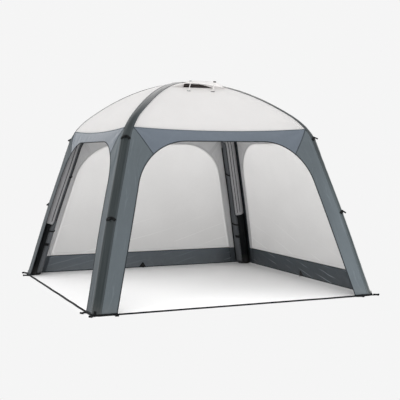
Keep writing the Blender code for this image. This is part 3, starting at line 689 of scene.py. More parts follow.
# Slot and colour of each cloth, the colour's factor, and the settings in which it differs from plain cloth.
# A colour is a name in the sidebar or its own three values.
PALE = {"pitch": 900.0, "thread": 0.8, "shade": 0.98, "tint": 1.01}
SLATE = {"hem": 0.02, "hem_shade": 0.92, "thread": 1.4, "light_through": 0.06, "coat": 1.0}
LINING = {"crease": 8.0, "stretch": 3.0, "hem": 0.02, "hem_shade": 0.9, "thread": 0.7, "light_through": 0.2}
CLOTHS = {
    "Roof cloth": ("roof_cloth", "roof", 1.0, dict(
        PALE, crease=2.4, stretch=1.6, hem=0.022, hem_shade=0.93, light_through=0.42, gloss=0.35)),
    "Hood cloth": ("roof_cloth", "roof", 1.19, dict(
        PALE, crease=4.0, stretch=1.5, relief=0.0008, hem=0.014, hem_shade=0.95, light_through=0.75,
        gloss=0.3)),
    # the wall is painted darker towards the floor as painted shade, and its pressed creases are painted
    # darker lines of shade
    "Wall cloth": ("wall_cloth", "wall", 1.0, dict(
        PALE, crease=2.0, stretch=1.2, hem=0.03, hem_shade=0.92, light_through=0.66, gloss=0.3, low=0.76,
        pressed=(0.33, 0.24, 1.1, 0.86))),
    # the slate is painted lighter on the right side, as painted light
    "Slate cloth": ("slate_cloth", "slate", 1.0, dict(
        SLATE, crease=22.0, stretch=10.0, relief=0.0020, crease_highlight=0.35, painted_right_light=1.32)),
    "Band cloth": ("slate_cloth", "band", 1.0, dict(SLATE, stretch=2.0, relief=0.0014, crease_highlight=0.10)),
    "Slate lining": ("slate_cloth", "lining", 1.0, LINING),
    "Corner lining": ("slate_cloth", "lining", 1.0, dict(LINING, foot=("skirt", 0.66))),
    "Facing cloth": ("slate_cloth", (0.30, 0.32, 0.335), 1.0, dict(
        crease=12.0, stretch=5.0, hem=0.008, thread=0.7)),
    # the skirt is painted darker on the right side, as painted shade
    "Skirt cloth": ("charcoal_cloth", "skirt", 1.0, dict(
        stretch=2.0, hem=0.012, hem_shade=0.6, thread=1.6, light_through=0.04, coat=0.2, crease_highlight=0.12,
        painted_right_light=0.62)),
    # charcoal strips: edges painted towards slate as painted shading round the tube, a painted sheen
    # towards the crown, and painted light on the right side
    "Charcoal cloth": ("charcoal_cloth", "charcoal", 1.0, dict(
        crease=30.0, stretch=14.0, relief=0.0022, hem=0.004, hem_shade=0.6, thread=1.2, coat=1.0, crease_highlight=0.7,
        rim=("slate", 0.55), painted_crown_sheen=((0.26, 0.26, 0.26), 1.0), sheen=0.15, painted_right_light=2.2)),
    "Flap cloth": ("charcoal_cloth", (0.105, 0.112, 0.120), 1.0, dict(
        crease=20.0, stretch=6.0, hem=0.008, hem_shade=0.7, thread=1.6, coat=0.3, crease_highlight=0.3,
        rim=((0.028, 0.030, 0.032), 1.0))),
    "Beam cloth": ("beam_cloth", "sleeve", 1.0, dict(
        crease=24.0, stretch=7.0, relief=0.0014, coat=0.3, crease_highlight=0.15)),
    "Boot cloth": ("black_webbing", "webbing", 1.7, dict(
        crease=12.0, stretch=2.0, hem=0.016, hem_shade=0.7, thread=2.5, gloss=0.08)),
    # dark facing beside the beams, which is partly painted shade of the gap there
    "Inner facing and shade cloth": ("charcoal_cloth", "trim", 2.0, dict(
        crease=20.0, stretch=6.0, relief=0.0009, hem=0.008, hem_shade=0.7, gloss=0.05)),
}
# Ribs per metre, colour and slot of each kind of webbing
WEBBINGS = {
    "Black webbing": (420.0, "webbing", "black_webbing"),
    "Dark binding": (500.0, "trim", "black_webbing"),
    "Slate piping": (500.0, "slate", "slate_cloth"),
    "Ridge piping": (500.0, "charcoal", "charcoal_cloth"),
}
DUST_COLOUR = (0.42, 0.40, 0.37, 1.0)


def dyed(colour, share=1.0):
    """A colour with alpha, from its name in the sidebar or its values, made lighter or darker."""
    if isinstance(colour, str):
        colour = [round(value, 5) for value in getattr(bpy.context.scene.gazebo_colours, colour)]
    return tuple(min(value * share, 1.0) for value in colour[:3]) + (1.0,)


def start_material(name):
    """A material without nodes, and the helper that fills it."""
    made = bpy.data.materials.new(name)
    made.use_nodes = True
    made.node_tree.nodes.clear()
    return made, Nodes(made.node_tree)


@functools.lru_cache(maxsize=None)
def cloth(name, share=1.0, **changes):
    """Material and slot of a cloth in CLOTHS, made lighter or darker, or with changed settings."""
    slot, colour, own_share, settings = CLOTHS[name]
    return woven(name, dyed(colour, own_share * share), **{**settings, **changes}), slot


def woven(name, colour, pitch=800.0, crease=9.0, stretch=2.5, relief=0.0012, hem=0.0, hem_shade=0.8,
          thread=1.5, light_through=0.0, gloss=0.0, coat=0.0, crease_highlight=0.0, shade=0.94, tint=1.04, low=1.0,
          foot=None, rim=None, painted_crown_sheen=None, sheen=0.0, painted_right_light=1.0, pressed=None):
    """Woven cloth with a coated face: weave, creases, hem and fading into colour, roughness and bump.

    The colour is multiplied by the value low near the floor, rising to one near the eave, as painted shade
    towards the floor. The colour foot replaces it below the skirts' height, and the colour rim fades in
    over the last 25 mm to the edges; on the charcoal strips this rim is painted shading where the cloth
    wraps round the tube. The colour painted_crown_sheen fades in towards the crown as a painted sheen, for
    the light that grazes the strips there. On the right side the colour is multiplied by the value
    painted_right_light, as painted light; a value below one paints shade. The value crease_highlight paints
    thin crease ridges lighter, as a painted highlight. Pressed holds the slope, the spacing, the top and
    the painted brightness of straight creases, which stands in for the light and shade on them. The coating
    is a thin coat with a low index, which mirrors only light that grazes it. Light that comes through the
    cloth is a share of a translucent shader of the same colour.
    """
    made, nodes = start_material(name)
    uv, spot = nodes.cloth_uv(), nodes.spot()
    border = nodes.put("ShaderNodeAttribute", attribute_name="border").outputs["Fac"]
    right, _, level = nodes.split(spot)
    threads, gaps = nodes.group(plain_weave, uv, pitch)
    folds, ridge = nodes.group(handling_creases, uv, crease, stretch)
    fade, dust = nodes.group(fading_and_dust, spot)
    tone = nodes.blend(fade, dyed(colour, shade), dyed(colour, tint))
    # a colour at the edges; on the charcoal strips it is painted shading where the cloth wraps round the
    # tube
    if rim:
        tone = nodes.blend(nodes.ramp(border, 0.0, 0.025), dyed(*rim), tone)
    # painted sheen: a lighter colour towards the crown stands in for the light that grazes the strips there
    if painted_crown_sheen:
        tone = nodes.blend(nodes.ramp(level, 1.84, 2.28), tone, dyed(*painted_crown_sheen))
    # painted shade: the colour is darker towards the floor
    if low < 1.0:
        tone = nodes.dim(tone, nodes.ramp(level, 0.2, 1.6, low, 1.0, "LINEAR"))
    # painted highlight: thin lines along the crease ridges are painted lighter
    if crease_highlight:
        tone = nodes.blend(nodes.mul(ridge, crease_highlight), tone, dyed(colour, 1.6))
    tone = nodes.blend(nodes.mul(gaps, 0.10), tone, dyed(colour, 0.7))
    tone = nodes.blend(nodes.mul(dust, 0.12), tone, DUST_COLOUR)
    height = nodes.add(nodes.mul(folds, relief), nodes.mul(threads, 0.00003))
    if hem:
        band, stitch, edge = nodes.group(stitched_hem, border, nodes.split(uv)[1], hem)
        tone = nodes.blend(nodes.mul(band, 0.6), tone, dyed(colour, hem_shade))
        tone = nodes.blend(stitch, tone, dyed(colour, thread))
        height = nodes.add(height, nodes.mul(edge, 0.0009))
    if foot:
        tone = nodes.blend(nodes.ramp(level, SKIRT_HEIGHT - 0.001, SKIRT_HEIGHT + 0.001), dyed(*foot), tone)
    # painted light on the right side: the colour there is multiplied by a factor, and a factor below one
    # paints shade
    if painted_right_light != 1.0:
        tone = nodes.dim(tone, nodes.ramp(right, 1.0, 1.25, 1.0, painted_right_light))
    # painted light and shade along the pressed creases: lighter on the skirts, darker on the walls
    if pressed:
        line, = nodes.group(pressed_creases, spot, *pressed[:3])
        tone = nodes.blend(line, tone, dyed(colour, pressed[3]))
        height = nodes.add(height, nodes.mul(line, 0.0004))
    bump = nodes.bump(height)
    surface = nodes.principled(
        tone, Roughness=nodes.ramp(fade, 0.0, 1.0, 0.46, 0.56), Normal=bump, Sheen_Weight=sheen,
        Sheen_Roughness=0.3, Coat_Weight=coat, Coat_Roughness=0.25, Coat_IOR=1.25, Specular_IOR_Level=gloss)
    if light_through:
        through = nodes.put("ShaderNodeBsdfTranslucent", tone, bump).outputs[0]
        surface = nodes.put("ShaderNodeMixShader", light_through, surface, through).outputs[0]
    nodes.put("ShaderNodeOutputMaterial", surface)
    return made


@functools.lru_cache(maxsize=None)
def webbing(name="Black webbing"):
    """Material and slot of a webbing in WEBBINGS: ribs along the length and a twill across it."""
    ribs, colour, slot = WEBBINGS[name]
    made, nodes = start_material(name)
    x, y, _ = nodes.split(nodes.cloth_uv())
    rib = nodes.calc("SINE", nodes.mul(nodes.add(nodes.mul(x, 0.6), y), ribs * 2.0 * math.pi))
    fade, _ = nodes.group(fading_and_dust, nodes.spot())
    tone = nodes.blend(nodes.ramp(rib, -1.0, 1.0, 0.0, 0.5), dyed(colour, 0.8), dyed(colour, 2.0))
    tone = nodes.blend(nodes.mul(fade, 0.3), tone, dyed(colour, 2.6))
    surface = nodes.principled(tone, Roughness=nodes.ramp(fade, 0.0, 1.0, 0.55, 0.75),
                               Normal=nodes.bump(nodes.mul(rib, 0.0002)), Specular_IOR_Level=0.12)
    nodes.put("ShaderNodeOutputMaterial", surface)
    return made, slot


# Pieces of the corners


class GAZEBO_OT_air_beams(Operator):
    """Add the four inflated tubes with their long sleeve zips, and the crown hub"""
    bl_idname = "gazebo.air_beams"
    bl_label = "Air beams"

    def execute(self, context):
        rows = path()
        rows = np.vstack([rows, (HUB_EDGE, ridge_height(HUB_EDGE), 0.0, rows[-1, 3] + 0.01)])
        angle = np.arange(48)[None, :] * 2.0 * math.pi / 48
        length = rows[:, 3:]
        past = length - rows[EAVE_ROW, 3]
        inner = (0.5 - 0.5 * np.cos(angle)) ** 2
        # pleats on the inner side of the bend, and a soft ripple along the whole tube
        pleat = np.exp(-(past / 0.13) ** 2) * np.sin(length * 2.0 * math.pi / 0.042 + np.sin(2 * angle))
        dent = 0.0035 * inner * (0.6 + 0.6 * pleat) * np.exp(-(past / 0.16) ** 2)
        for corner, turns in CORNERS.items():
            ripple = ripples(angle * BEAM_RADIUS, length / 6.0, 11 + turns, 0.05, spread=0.5)
            radius = BEAM_RADIUS - dent - 0.0009 * (1.0 + ripple) * np.minimum(1.0, length / 0.3)
            tube = tube_part(around(rows, radius, angle))
            add_piece("Air_beam_" + corner, tube, cloth("Beam cloth"), turns)
            # two zips of the beam's sleeve, along the inner side above the boot
            kept = rows[(rows[:, 1] > boot_top(corner) + 0.03) & (rows[:, 0] > 0.3)]
            parts = []
            for degrees, reach, width in BEAM_ZIPS[turns % 2]:
                line = around(kept, BEAM_RADIUS + reach, np.full((1, 1), math.radians(degrees)))[:, 0]
                parts.append(bar(line, line - axis_of(kept), width, 0.0036, -0.0016))
            add_piece("Beam_zip_" + corner, joined(parts), webbing(), turns, None)
        swell = 0.94 * np.sin(column(0.12, math.pi - 0.12, 11)) ** 0.35
        tilted = angle - math.pi / 4
        square = HUB_HALF * swell / np.maximum(np.abs(np.cos(tilted)), np.abs(np.sin(tilted))) ** 0.8
        level = CROWN_AXIS + column(-0.054, 0.054, 11)
        hub = tube_part(place(square * np.cos(angle), square * np.sin(angle), level))
        add_piece("Crown_hub", hub, cloth("Beam cloth"))
        return {"FINISHED"}


def sleeve_grid(rows):
    """Points of the strip over a beam: round the tube, and on the ridge a little way onto both roof panels.

    Past each edge of the round part the points follow the roof panel, level along x on one side and
    along y on the other.
    """
    half = np.maximum(leave_angle(rows), SLEEVE_LEAST) - 0.004
    middle = around(rows, SKIN_RADIUS, half * row(-1.0, 1.0, 25))
    ridge = smooth((np.arange(len(rows))[:, None] - EAVE_ROW) / 30.0)
    edge_x, edge_y, edge_z = np.moveaxis(middle[:, -1:], -1, 0)
    x = edge_x - (0.0012 + sizes().lap * ridge) * row(0.25, 1.0, 4)
    drop = roof_sag(edge_z) * (1.0 - (x / edge_x) ** 2)
    right = place(x, edge_y, edge_z - drop + 0.0004 + 0.0012 * ridge)
    return np.concatenate([right[:, ::-1][..., [1, 0, 2]], middle, right], axis=1)


class GAZEBO_OT_ridge_sleeves(Operator):
    """Add the charcoal strips over the beams, with lengthwise wrinkles, and their piping on the roof"""
    bl_idname = "gazebo.ridge_sleeves"
    bl_label = "Ridge sleeves"

    def execute(self, context):
        rows = path()
        grid = sleeve_grid(rows)
        u = travelled(grid, 1)
        u = u - 0.5 * u[:, -1:]
        v = rows[:, 3:]
        calm = smooth((u[:, -1:] - np.abs(u)) / 0.03) * smooth(v / 0.06)
        roof = grid[EAVE_ROW - 2:]
        normal = roof[:, 16] - axis_of(rows[EAVE_ROW - 2:])
        piping = joined([bar(roof[:, edge], normal, sizes().piping, 0.004, -0.0012) for edge in (0, -1)])
        for corner, turns in CORNERS.items():
            folds = 0.0020 * ripples(u, v / 9.0, 31 + turns, 0.03, spread=0.25)
            slant = 0.0014 * creases(u, v / 2.5, 41 + turns, 0.08, 0.5)
            lay_cloth("Ridge_sleeve_" + corner, grid, cloth("Charcoal cloth"), turns,
                      calm * (folds + slant - 0.0014))
            add_piece("Ridge_piping_" + corner, piping, webbing("Ridge piping"), turns, None)
        return {"FINISHED"}


class GAZEBO_OT_boots_and_flaps(Operator):
    """Add the black boots, the dark strips beside the beams, their toggles and the inner facings, which
    also stand in for the shade beside the beams
    """
    bl_idname = "gazebo.boots_and_flaps"
    bl_label = "Boots and flaps"

    def execute(self, context):
        rows = path()
        angle = row(math.radians(62.0), math.radians(298.0), 41)
        for corner, turns in CORNERS.items():
            low = rows[rows[:, 1] < boot_top(corner) + 0.01]
            bulge = 0.0016 * np.sin(math.pi * low[:, 1:2] / boot_top(corner))
            bulge = bulge + 0.0010 * ripples(angle * 0.08, low[:, 3:] / 3.0, 51 + turns, 0.05)
            grid = around(low, BEAM_RADIUS + BOOT_REACH + np.maximum(bulge, -0.0008), angle)
            lay_cloth("Beam_boot_" + corner, grid, cloth("Boot cloth"), turns,
                      facing=(grid - axis_of(low)[:, None]).mean(axis=(0, 1)))
            self.flap(corner, turns)
            self.wing_facing_and_shade(corner, turns)
        return {"FINISHED"}

    def flap(self, corner, turns):
        """The strip from the beam's inner flank to the wing, its zip, and three ties across it.

        Over the boot it stands further out, to cover the boot's edge, and starts further round. From the
        flank it runs on square to the wing.
        """
        rows = path()[2:EAVE_ROW - 2]
        turn = leave_angle(rows)
        below = boot_top(corner) - rows[:, 1:2]
        reach = BEAM_RADIUS + FLAP_REACH + FLAP_OVER_BOOT * smooth((below + 0.06) / 0.05)
        further, over_boot = FLAP_WRAP.get(corner, (0.0, 0.0))
        first = np.radians(174.0 + further + over_boot * smooth((below + 0.05) / 0.10))
        on_flank = around(rows, reach, between(first, math.pi / 2.0 + turn, row(0.0, 1.0, 12)))
        to_wing = row(0.0, 1.0, 8)[:, 1:] * (SKIN_RADIUS - 0.0044)
        square = around(rows, np.hypot(reach, to_wing), math.pi / 2.0 + turn - np.arctan2(to_wing, reach))
        grid = np.concatenate([on_flank, square], axis=1)[..., [1, 0, 2] if turns % 2 else [0, 1, 2]]
        u = travelled(grid, 1)
        calm = smooth(u / 0.02) * smooth((u[:, -1:] - u) / 0.02)
        relief = 0.0016 * calm * ripples(u, rows[:, 3:] / 5.0, 61 + turns, 0.04)
        from_axis = grid - axis_of(rows)[:, None]
        lay_cloth("Beam_flap_" + corner, grid, cloth("Flap cloth"), turns, np.maximum(relief, 0.0),
                  facing=from_axis.mean(axis=(0, 1)))
        out = unit(grid[:, -1] - grid[:, -4])
        room = unit(np.cross(np.gradient(grid[:, -1], axis=0), out))
        room = room * np.sign((room * from_axis[:, -4]).sum(axis=-1, keepdims=True))
        zip_line = grid[:, -1] - 0.017 * out + 0.002 * room
        parts = [bar(zip_line[:-12], room[:-12], 0.032, 0.005, -0.001)]
        faces = grid_normals(grid)
        faces = faces * np.sign((faces[:, :4] * from_axis[:, :4]).sum())
        for level, size, last in TIES:
            # the lowest tie is short where the strip wraps furthest round
            last = 5 if last > 0 and corner == "back_left" else last
            at = int(np.argmin(np.abs(rows[:, 1] - level)))
            away = faces[at, :last]
            parts.append(bar(grid[at, :last] + 0.002 * away, away, size, 0.010, -0.002))
        add_piece("Flap_zip_" + corner, joined(parts), webbing(), turns, None)

    def wing_facing_and_shade(self, corner, turns):
        """The dark facing on the inner side of the other wing, from the beam to the strip's width; its dark
        colour also stands in for the shade in the gap beside the beam.
        """
        rows = path()[2:EAVE_ROW - 2]
        turn = leave_angle(rows)
        normal = unit(place(0.0, ROOT2 * np.sin(turn), np.cos(rows[:, 2:3]) * np.cos(turn)))
        strip = around(rows, SKIN_RADIUS, turn) - place(row(0.0, WING_FACING_AND_SHADE, 7), 0.0, 0.0)
        strip = (strip - 0.0032 * normal)[..., [0, 1, 2] if turns % 2 else [1, 0, 2]]
        lay_cloth("Wing_facing_and_shade_" + corner, strip, cloth("Inner facing and shade cloth"), turns, node=None,
                  facing=UP - strip.mean(axis=(0, 1)), thick=0.001)


class GAZEBO_OT_guy_straps(Operator):
    """Add the webbing bands over the legs, each with a doubled guy tab"""
    bl_idname = "gazebo.guy_straps"
    bl_label = "Guy straps"

    def execute(self, context):
        rows = path()
        middle = 15
        angle = np.linspace(-STRAP_REACH, STRAP_REACH, 2 * middle + 1)
        side = np.array([-1.0, 1.0, 0.0]) / ROOT2
        for name, level in STRAP_HEIGHTS.items():
            # the ends of a band hang lower than its middle, by the square of the angle
            stations = looked_up(level - STRAP_DROP * (angle / STRAP_REACH) ** 2, rows[:, 1], rows)
            line = around(stations, SKIN_RADIUS + 0.0008, angle[:, None])[:, 0]
            sine, cosine = math.sin(stations[middle, 2]), math.cos(stations[middle, 2])
            down = np.array([cosine / ROOT2, cosine / ROOT2, -sine])
            out = np.array([sine / ROOT2, sine / ROOT2, cosine])
            share = column(0.0, 1.0, 12)
            tab = line[middle] + out * (0.002 + 0.026 * share) + down * (0.032 * share ** 1.3)
            buckle = line[middle] + out * 0.0045 + side * column(-0.017, 0.017, 7)
            part = joined([bar(line, line - axis_of(stations), sizes().webbing, 0.0034),
                           bar(tab, np.cross(np.gradient(tab, axis=0), side), 0.022, 0.0140, -0.0070),
                           bar(buckle, out, 0.020, 0.0075, -0.0035)])
            for corner, turns in CORNERS.items():
                add_piece("Guy_strap_%s_%s" % (name, corner), part, webbing(), turns)
        return {"FINISHED"}


class GAZEBO_OT_feet(Operator):
    """Add the foot hems, the peg loops, the pegs and the ground webbing across the open doorways"""
    bl_idname = "gazebo.feet"
    bl_label = "Feet and ground webbing"

    def execute(self, context):
        rows = path()[:1]
        wall = float(leave_line()[0, 1])
        half = float(leave_angle(rows)[0, 0])
        bend = around(rows, SKIN_RADIUS, row(-half, half, 15))[0]
        start = place(wall, between(ARCH_FOOT, bend[0, 1], np.linspace(0.0, 1.0, 12)[:-1]), 0.0)
        outline = np.concatenate([start, bend, start[::-1, [1, 0, 2]]])
        out = unit(np.cross(np.gradient(outline, axis=0), UP))
        # the hem's section: heights above the floor, and distances outwards
        rise = np.array([0.0004, 0.0004, 0.006, 0.016, 0.020, 0.021, 0.021, 0.010])
        reach = np.array([0.0005, 0.006, 0.0088, 0.0080, 0.005, 0.002, 0.0006, 0.0002])
        hem = outline[:, None] + UP * rise[None, :, None] + out[:, None] * reach[None, :, None]
        parts = [tube_part(hem[:, ::-1])]
        parts += self.peg(np.array([wall, ARCH_FOOT + 0.014, 0.0]), 0.66)
        parts += self.peg(bend[7], math.pi / 4, True)
        parts += self.peg(np.array([ARCH_FOOT + 0.014, wall, 0.0]), math.pi / 2 - 0.12)
        for corner, turns in CORNERS.items():
            add_piece("Foot_webbing_" + corner, joined(parts), webbing(), turns)
        x = np.linspace(-post_x(0.0) + 0.002, post_x(0.0) - 0.002, 161)
        for side, width in FLOOR_STRAPS.items():
            turns = SIDES[side]
            wave = 0.0025 * ripples(x, 0.0, 71 + turns, 0.5) * smooth((ARCH_FOOT - np.abs(x)) / 0.2)
            strap = bar(place(x, wave + 0.002 - wall, 0.0010), UP, width, 0.0130, count=16, power=0.7)
            add_piece("Floor_strap_" + side, strap, webbing(), turns)
        return {"FINISHED"}

    def peg(self, foot, heading, climbs=False):
        """A flat webbing loop on the floor, and a stout black peg that lies outwards over it.

        The peg ends in a cross bar. At the corner the loop's webbing climbs a little way up the cloth.
        """
        out = np.array([math.cos(heading), math.sin(heading), 0.0])
        side = np.array([-out[1], out[0], 0.0])
        turn = column(0.0, math.pi, 21)
        loop = foot + out * 0.046 * np.sin(turn) ** 0.6 + side * 0.012 * np.cos(turn)
        loop = loop + UP * (0.0045 + 0.008 * np.sin(turn) ** 2)
        top = foot + out * 0.072 + UP * 0.0115
        rod = between(foot + out * 0.020 + UP * 0.0105, top, column(0.0, 1.0, 9))
        parts = [bar(loop, UP, 0.018, 0.0060, -0.0030), bar(rod, side, 0.017, 0.017, -0.0085, power=1.0),
                 bar(top + side * column(-0.017, 0.017, 9), out, 0.019, 0.019, -0.0095, power=1.0)]
        if climbs:
            tab = foot + out * 0.0035 + UP * 0.002 + column(0.0, 0.045, 9) * (UP - LEG_LEAN * np.abs(out))
            parts.append(bar(tab, out, 0.022, 0.005, -0.001))
        return parts


# Pieces of the sides


def wing_grid(sign):
    """Points and flat heights of the wing between beam and doorway, level by level from floor to seam."""
    step = np.linspace(0.0, 8.0, 129)
    line = leave_line()
    knots = np.interp(POST_LEVELS + (1.25,), path()[:, 1], np.arange(len(path())))
    knots = np.concatenate([knots, [0.5 * (knots[-1] + LEG_ROWS)], np.linspace(LEG_ROWS, EAVE_ROW, 4)])
    outer = looked_up(np.interp(step, np.arange(9), knots), np.arange(len(line)), line[:, [0, 2]])
    ends = between(outer[:, None], door_edge(step)[:, None], row(0.0, 1.0, 25)[..., None])
    return side_points(sign * ends[..., 0], ends[..., 1]), ends[..., 1]


class GAZEBO_OT_leg_wings(Operator):
    """Add the slate cloth between each beam and the doorway beside it, with folds from the eave corner"""
    bl_idname = "gazebo.leg_wings"
    bl_label = "Leg wings"

    def execute(self, context):
        # painted shade: the light falls off along the left side, towards the floor and the far corner, so
        # these wings are painted darker there
        left_painted_shade = {("left", "front"): {"low": 0.66, "coat": 0.5},
                 ("left", "back"): {"share": 0.66, "low": 0.80, "coat": 0.4}}
        for side, turns in SIDES.items():
            lining = cloth("Corner lining" if side in CLOSED else "Slate lining")
            for end, sign in zip(SIDE_ENDS[side], (-1.0, 1.0)):
                grid, v = wing_grid(sign)
                seed = 101 + 2 * turns + int(sign > 0)
                u = travelled(grid, 1)
                from_seam = len(grid) - 1 - np.arange(len(grid))[:, None]
                calm = smooth(np.minimum(u, u[:, -1:] - u) / 0.05) * smooth(v / 0.05)
                folds = sizes().fold_depth * ripples(u, v / 5.0, seed, 0.075)
                folds = folds + 0.006 * fan(u, v, (0.0, 1.74), seed, 9.0, 0.5)
                folds = folds + 0.0012 * creases(u, v / 2.0, seed + 30, 0.10, 0.3)
                relief = np.maximum(calm * smooth(from_seam / 12.0) * folds, -0.0012)
                look = cloth("Slate cloth", **left_painted_shade.get((side, end), {}))
                lay_cloth("Wing_%s_%s" % (side, end), grid, look, turns, relief,
                          "leg_wing_%s_%s" % (side, end), lining)
        return {"FINISHED"}


class GAZEBO_OT_eave_bands(Operator):
    """Add the slate bands over the doorways, from the arch up to the sagging eave"""
    bl_idname = "gazebo.eave_bands"
    bl_label = "Eave bands"

    def execute(self, context):
        lower = arch_top_edge(56)
        across = column(1.0, -1.0, len(lower))
        rise = row(0.0, 1.0, 25)
        eave_x, _, eave_z = leave_line()[-1]
        sag = sizes().eave_sag * (1.0 - across ** 2) * rise
        grid = side_points(between(lower[:, :1], eave_x * across, rise),
                           between(lower[:, 1:], eave_z, rise), sag)
        u, v = grid[..., 0], grid[..., 2]
        calm = smooth((1.0 - np.abs(across)) / 0.06) * smooth(rise / 0.2)
        near_eave = 0.0010 * np.exp((rise - 1.0) / 0.25)
        for side, turns in SIDES.items():
            folds = 0.0016 * ripples(u, v / 3.0, 131 + turns, 0.11, spread=0.25)
            folds = folds + 0.005 * two_fans(u, v, (eave_x, eave_z), 151 + turns, 11.0, 0.35)
            pucker = near_eave * ripples(u, v / 4.0, 141 + turns, 0.028, spread=0.1)
            relief = smooth((1.0 - rise) / 0.2) * folds + smooth((1.0 - rise) / 0.05) * pucker
            lay_cloth("Eave_band_" + side, grid, cloth("Band cloth"), turns, calm * relief,
                      lining=cloth("Slate lining"))
        return {"FINISHED"}


class GAZEBO_OT_roof(Operator):
    """Add the four pale roof panels, the front one with the vent's opening, and the crown patch"""
    bl_idname = "gazebo.roof"
    bl_label = "Roof panels"

    def execute(self, context):
        line = roof_lines()
        order = np.arange(len(line))
        # rows and columns run along the vent's edges, so that its opening is whole cells of the grid
        front, back = np.interp(VENT_DEPTHS, line[::-1, 1], order[::-1])
        before, along, beside, over = 60, 14, 36, 20
        rows = np.concatenate([np.linspace(0.0, front, before, endpoint=False),
                               np.linspace(front, back, along, endpoint=False),
                               np.linspace(back, order[-1], 12)])
        width, depth, height = looked_up(rows, order, line).T
        half = np.minimum(np.interp(depth, VENT_DEPTHS[::-1], VENT_HALVES[::-1]), 0.6 * width)
        x = np.concatenate([np.linspace(-width, VENT_CENTRE - half, beside, endpoint=False),
                            np.linspace(VENT_CENTRE - half, VENT_CENTRE + half, over, endpoint=False),
                            np.linspace(VENT_CENTRE + half, width, beside + 1)]).T
        depth, height = depth[:, None], height[:, None]
        share = x / width[:, None]
        grid = place(x, -depth, height - roof_sag(height) * (1.0 - share ** 2))
        hole = np.zeros((x.shape[0] - 1, x.shape[1] - 1), dtype=bool)
        hole[before:before + along, beside:beside + over] = True
        v = travelled(grid, 0)
        calm = smooth((1.0 - np.abs(share)) / 0.25) * smooth(v / 0.12)
        calm = calm * smooth((v[-1:] - v) / 0.2)
        by_vent = smooth((np.hypot((x - VENT_CENTRE) / 1.2, depth - 0.32) - 0.2) / 0.15)
        for side, turns in SIDES.items():
            folds = 0.003 * ripples(x / 1.5, v, 161 + turns, 0.55, spread=0.8)
            folds = folds + 0.010 * two_fans(x, v, (width[0], 0.0), 171 + turns, 12.0, 0.28)
            vented = side == "front"
            lay_cloth("Roof_panel_" + side, grid, cloth("Roof cloth"), turns,
                      calm * folds * (by_vent if vented else 1.0), hole=hole if vented else None)
        radius = np.append(np.linspace(0.0, 0.124, 12), np.linspace(0.132, 0.158, 4))[:, None]
        angle = row(0.0, 2.0 * math.pi, 73)
        top = ridge_height(CROWN_CLOTH_END) + SKIN_RADIUS + 0.0034
        fall = 0.0031 * smooth((radius - 0.11) / 0.048)
        patch = place(radius * np.cos(angle), radius * np.sin(angle), top - fall)
        rings = np.concatenate([patch[1:, :-1], patch[::-1][:-1, :-1] - 0.0012 * UP])
        add_piece("Crown_patch", tube_part(rings[:, ::-1]), cloth("Roof cloth"))
        return {"FINISHED"}


class GAZEBO_OT_walls(Operator):
    """Add the two zip-in walls with their skirts and peg tabs"""
    bl_idname = "gazebo.walls"
    bl_label = "Zip-in walls"

    def execute(self, context):
        post = door_edge(np.linspace(SKIRT_HEIGHT / POST_LEVELS[1], 8.0, 70))
        edge = np.concatenate([post, arch_top_edge(24)[1:24]])
        width, height = edge[:, :1], edge[:, 1:]
        share = 0.5 * np.sin(row(-0.5, 0.5, 81) * math.pi) + 0.5 * row(-1.0, 1.0, 81)
        x = width * share
        panel = side_points(x, height, inward=0.001)
        gap = np.minimum((1.0 - np.abs(share)) * width, height - SKIRT_HEIGHT)
        calm = smooth(gap / 0.12) * smooth((ARCH_TOP - height) / 0.12)
        low = column(0.0, SKIRT_HEIGHT, 19)
        low_x = post_x(low) * row(-1.0, 1.0, 161)
        skirt = side_points(low_x, low, inward=0.001)
        still = smooth(low / 0.05) * smooth((SKIRT_HEIGHT - low) / 0.05)
        still = still * smooth((post_x(low) - np.abs(low_x)) / 0.05)
        # painted highlight: the skirts' pressed creases are painted lighter than the cloth by these factors
        for side, crease_painted_light in (("back", 1.3), ("right", 1.9)):
            turns = SIDES[side]
            folds = 0.006 * ripples(x, height, 191 + turns, 0.9, spread=1.0)
            folds = folds + 0.008 * two_fans(x, height, (edge[0, 0], 0.1), 181 + turns, 10.0, 0.45)
            lay_cloth("Wall_panel_" + side, panel, cloth("Wall cloth"), turns, calm * folds)
            folds = 0.004 * ripples(low_x, low, 211 + turns, 0.16, heading=-0.6, spread=0.25)
            look = cloth("Skirt cloth", pressed=(0.27, 0.10, 0.5, crease_painted_light))
            lay_cloth("Wall_skirt_" + side, skirt, look, turns, still * folds)
            self.peg_tab(side, turns)
        return {"FINISHED"}

    def peg_tab(self, side, turns):
        """The three-cornered tab on the skirt's inner face, with a peg loop at the floor."""
        share = column(0.0, 1.0, 9)[:-1]
        grid = side_points((1.0 - share) * row(-0.05, 0.05, 9), 0.004 + 0.074 * share, inward=0.0055)
        lay_cloth("Wall_peg_tab_" + side, grid, cloth("Boot cloth"), turns, facing=(0.0, 1.0, 0.0))
        bend = np.linspace(0.0, math.pi, 11)
        loop = place(0.010 * np.cos(bend), 0.03 * np.sin(bend) + 0.012 - leave_line()[0, 1], 0.003)
        add_piece("Peg_loop_" + side, bar(loop, UP, 0.008, 0.002, -0.001), webbing(), turns, None)


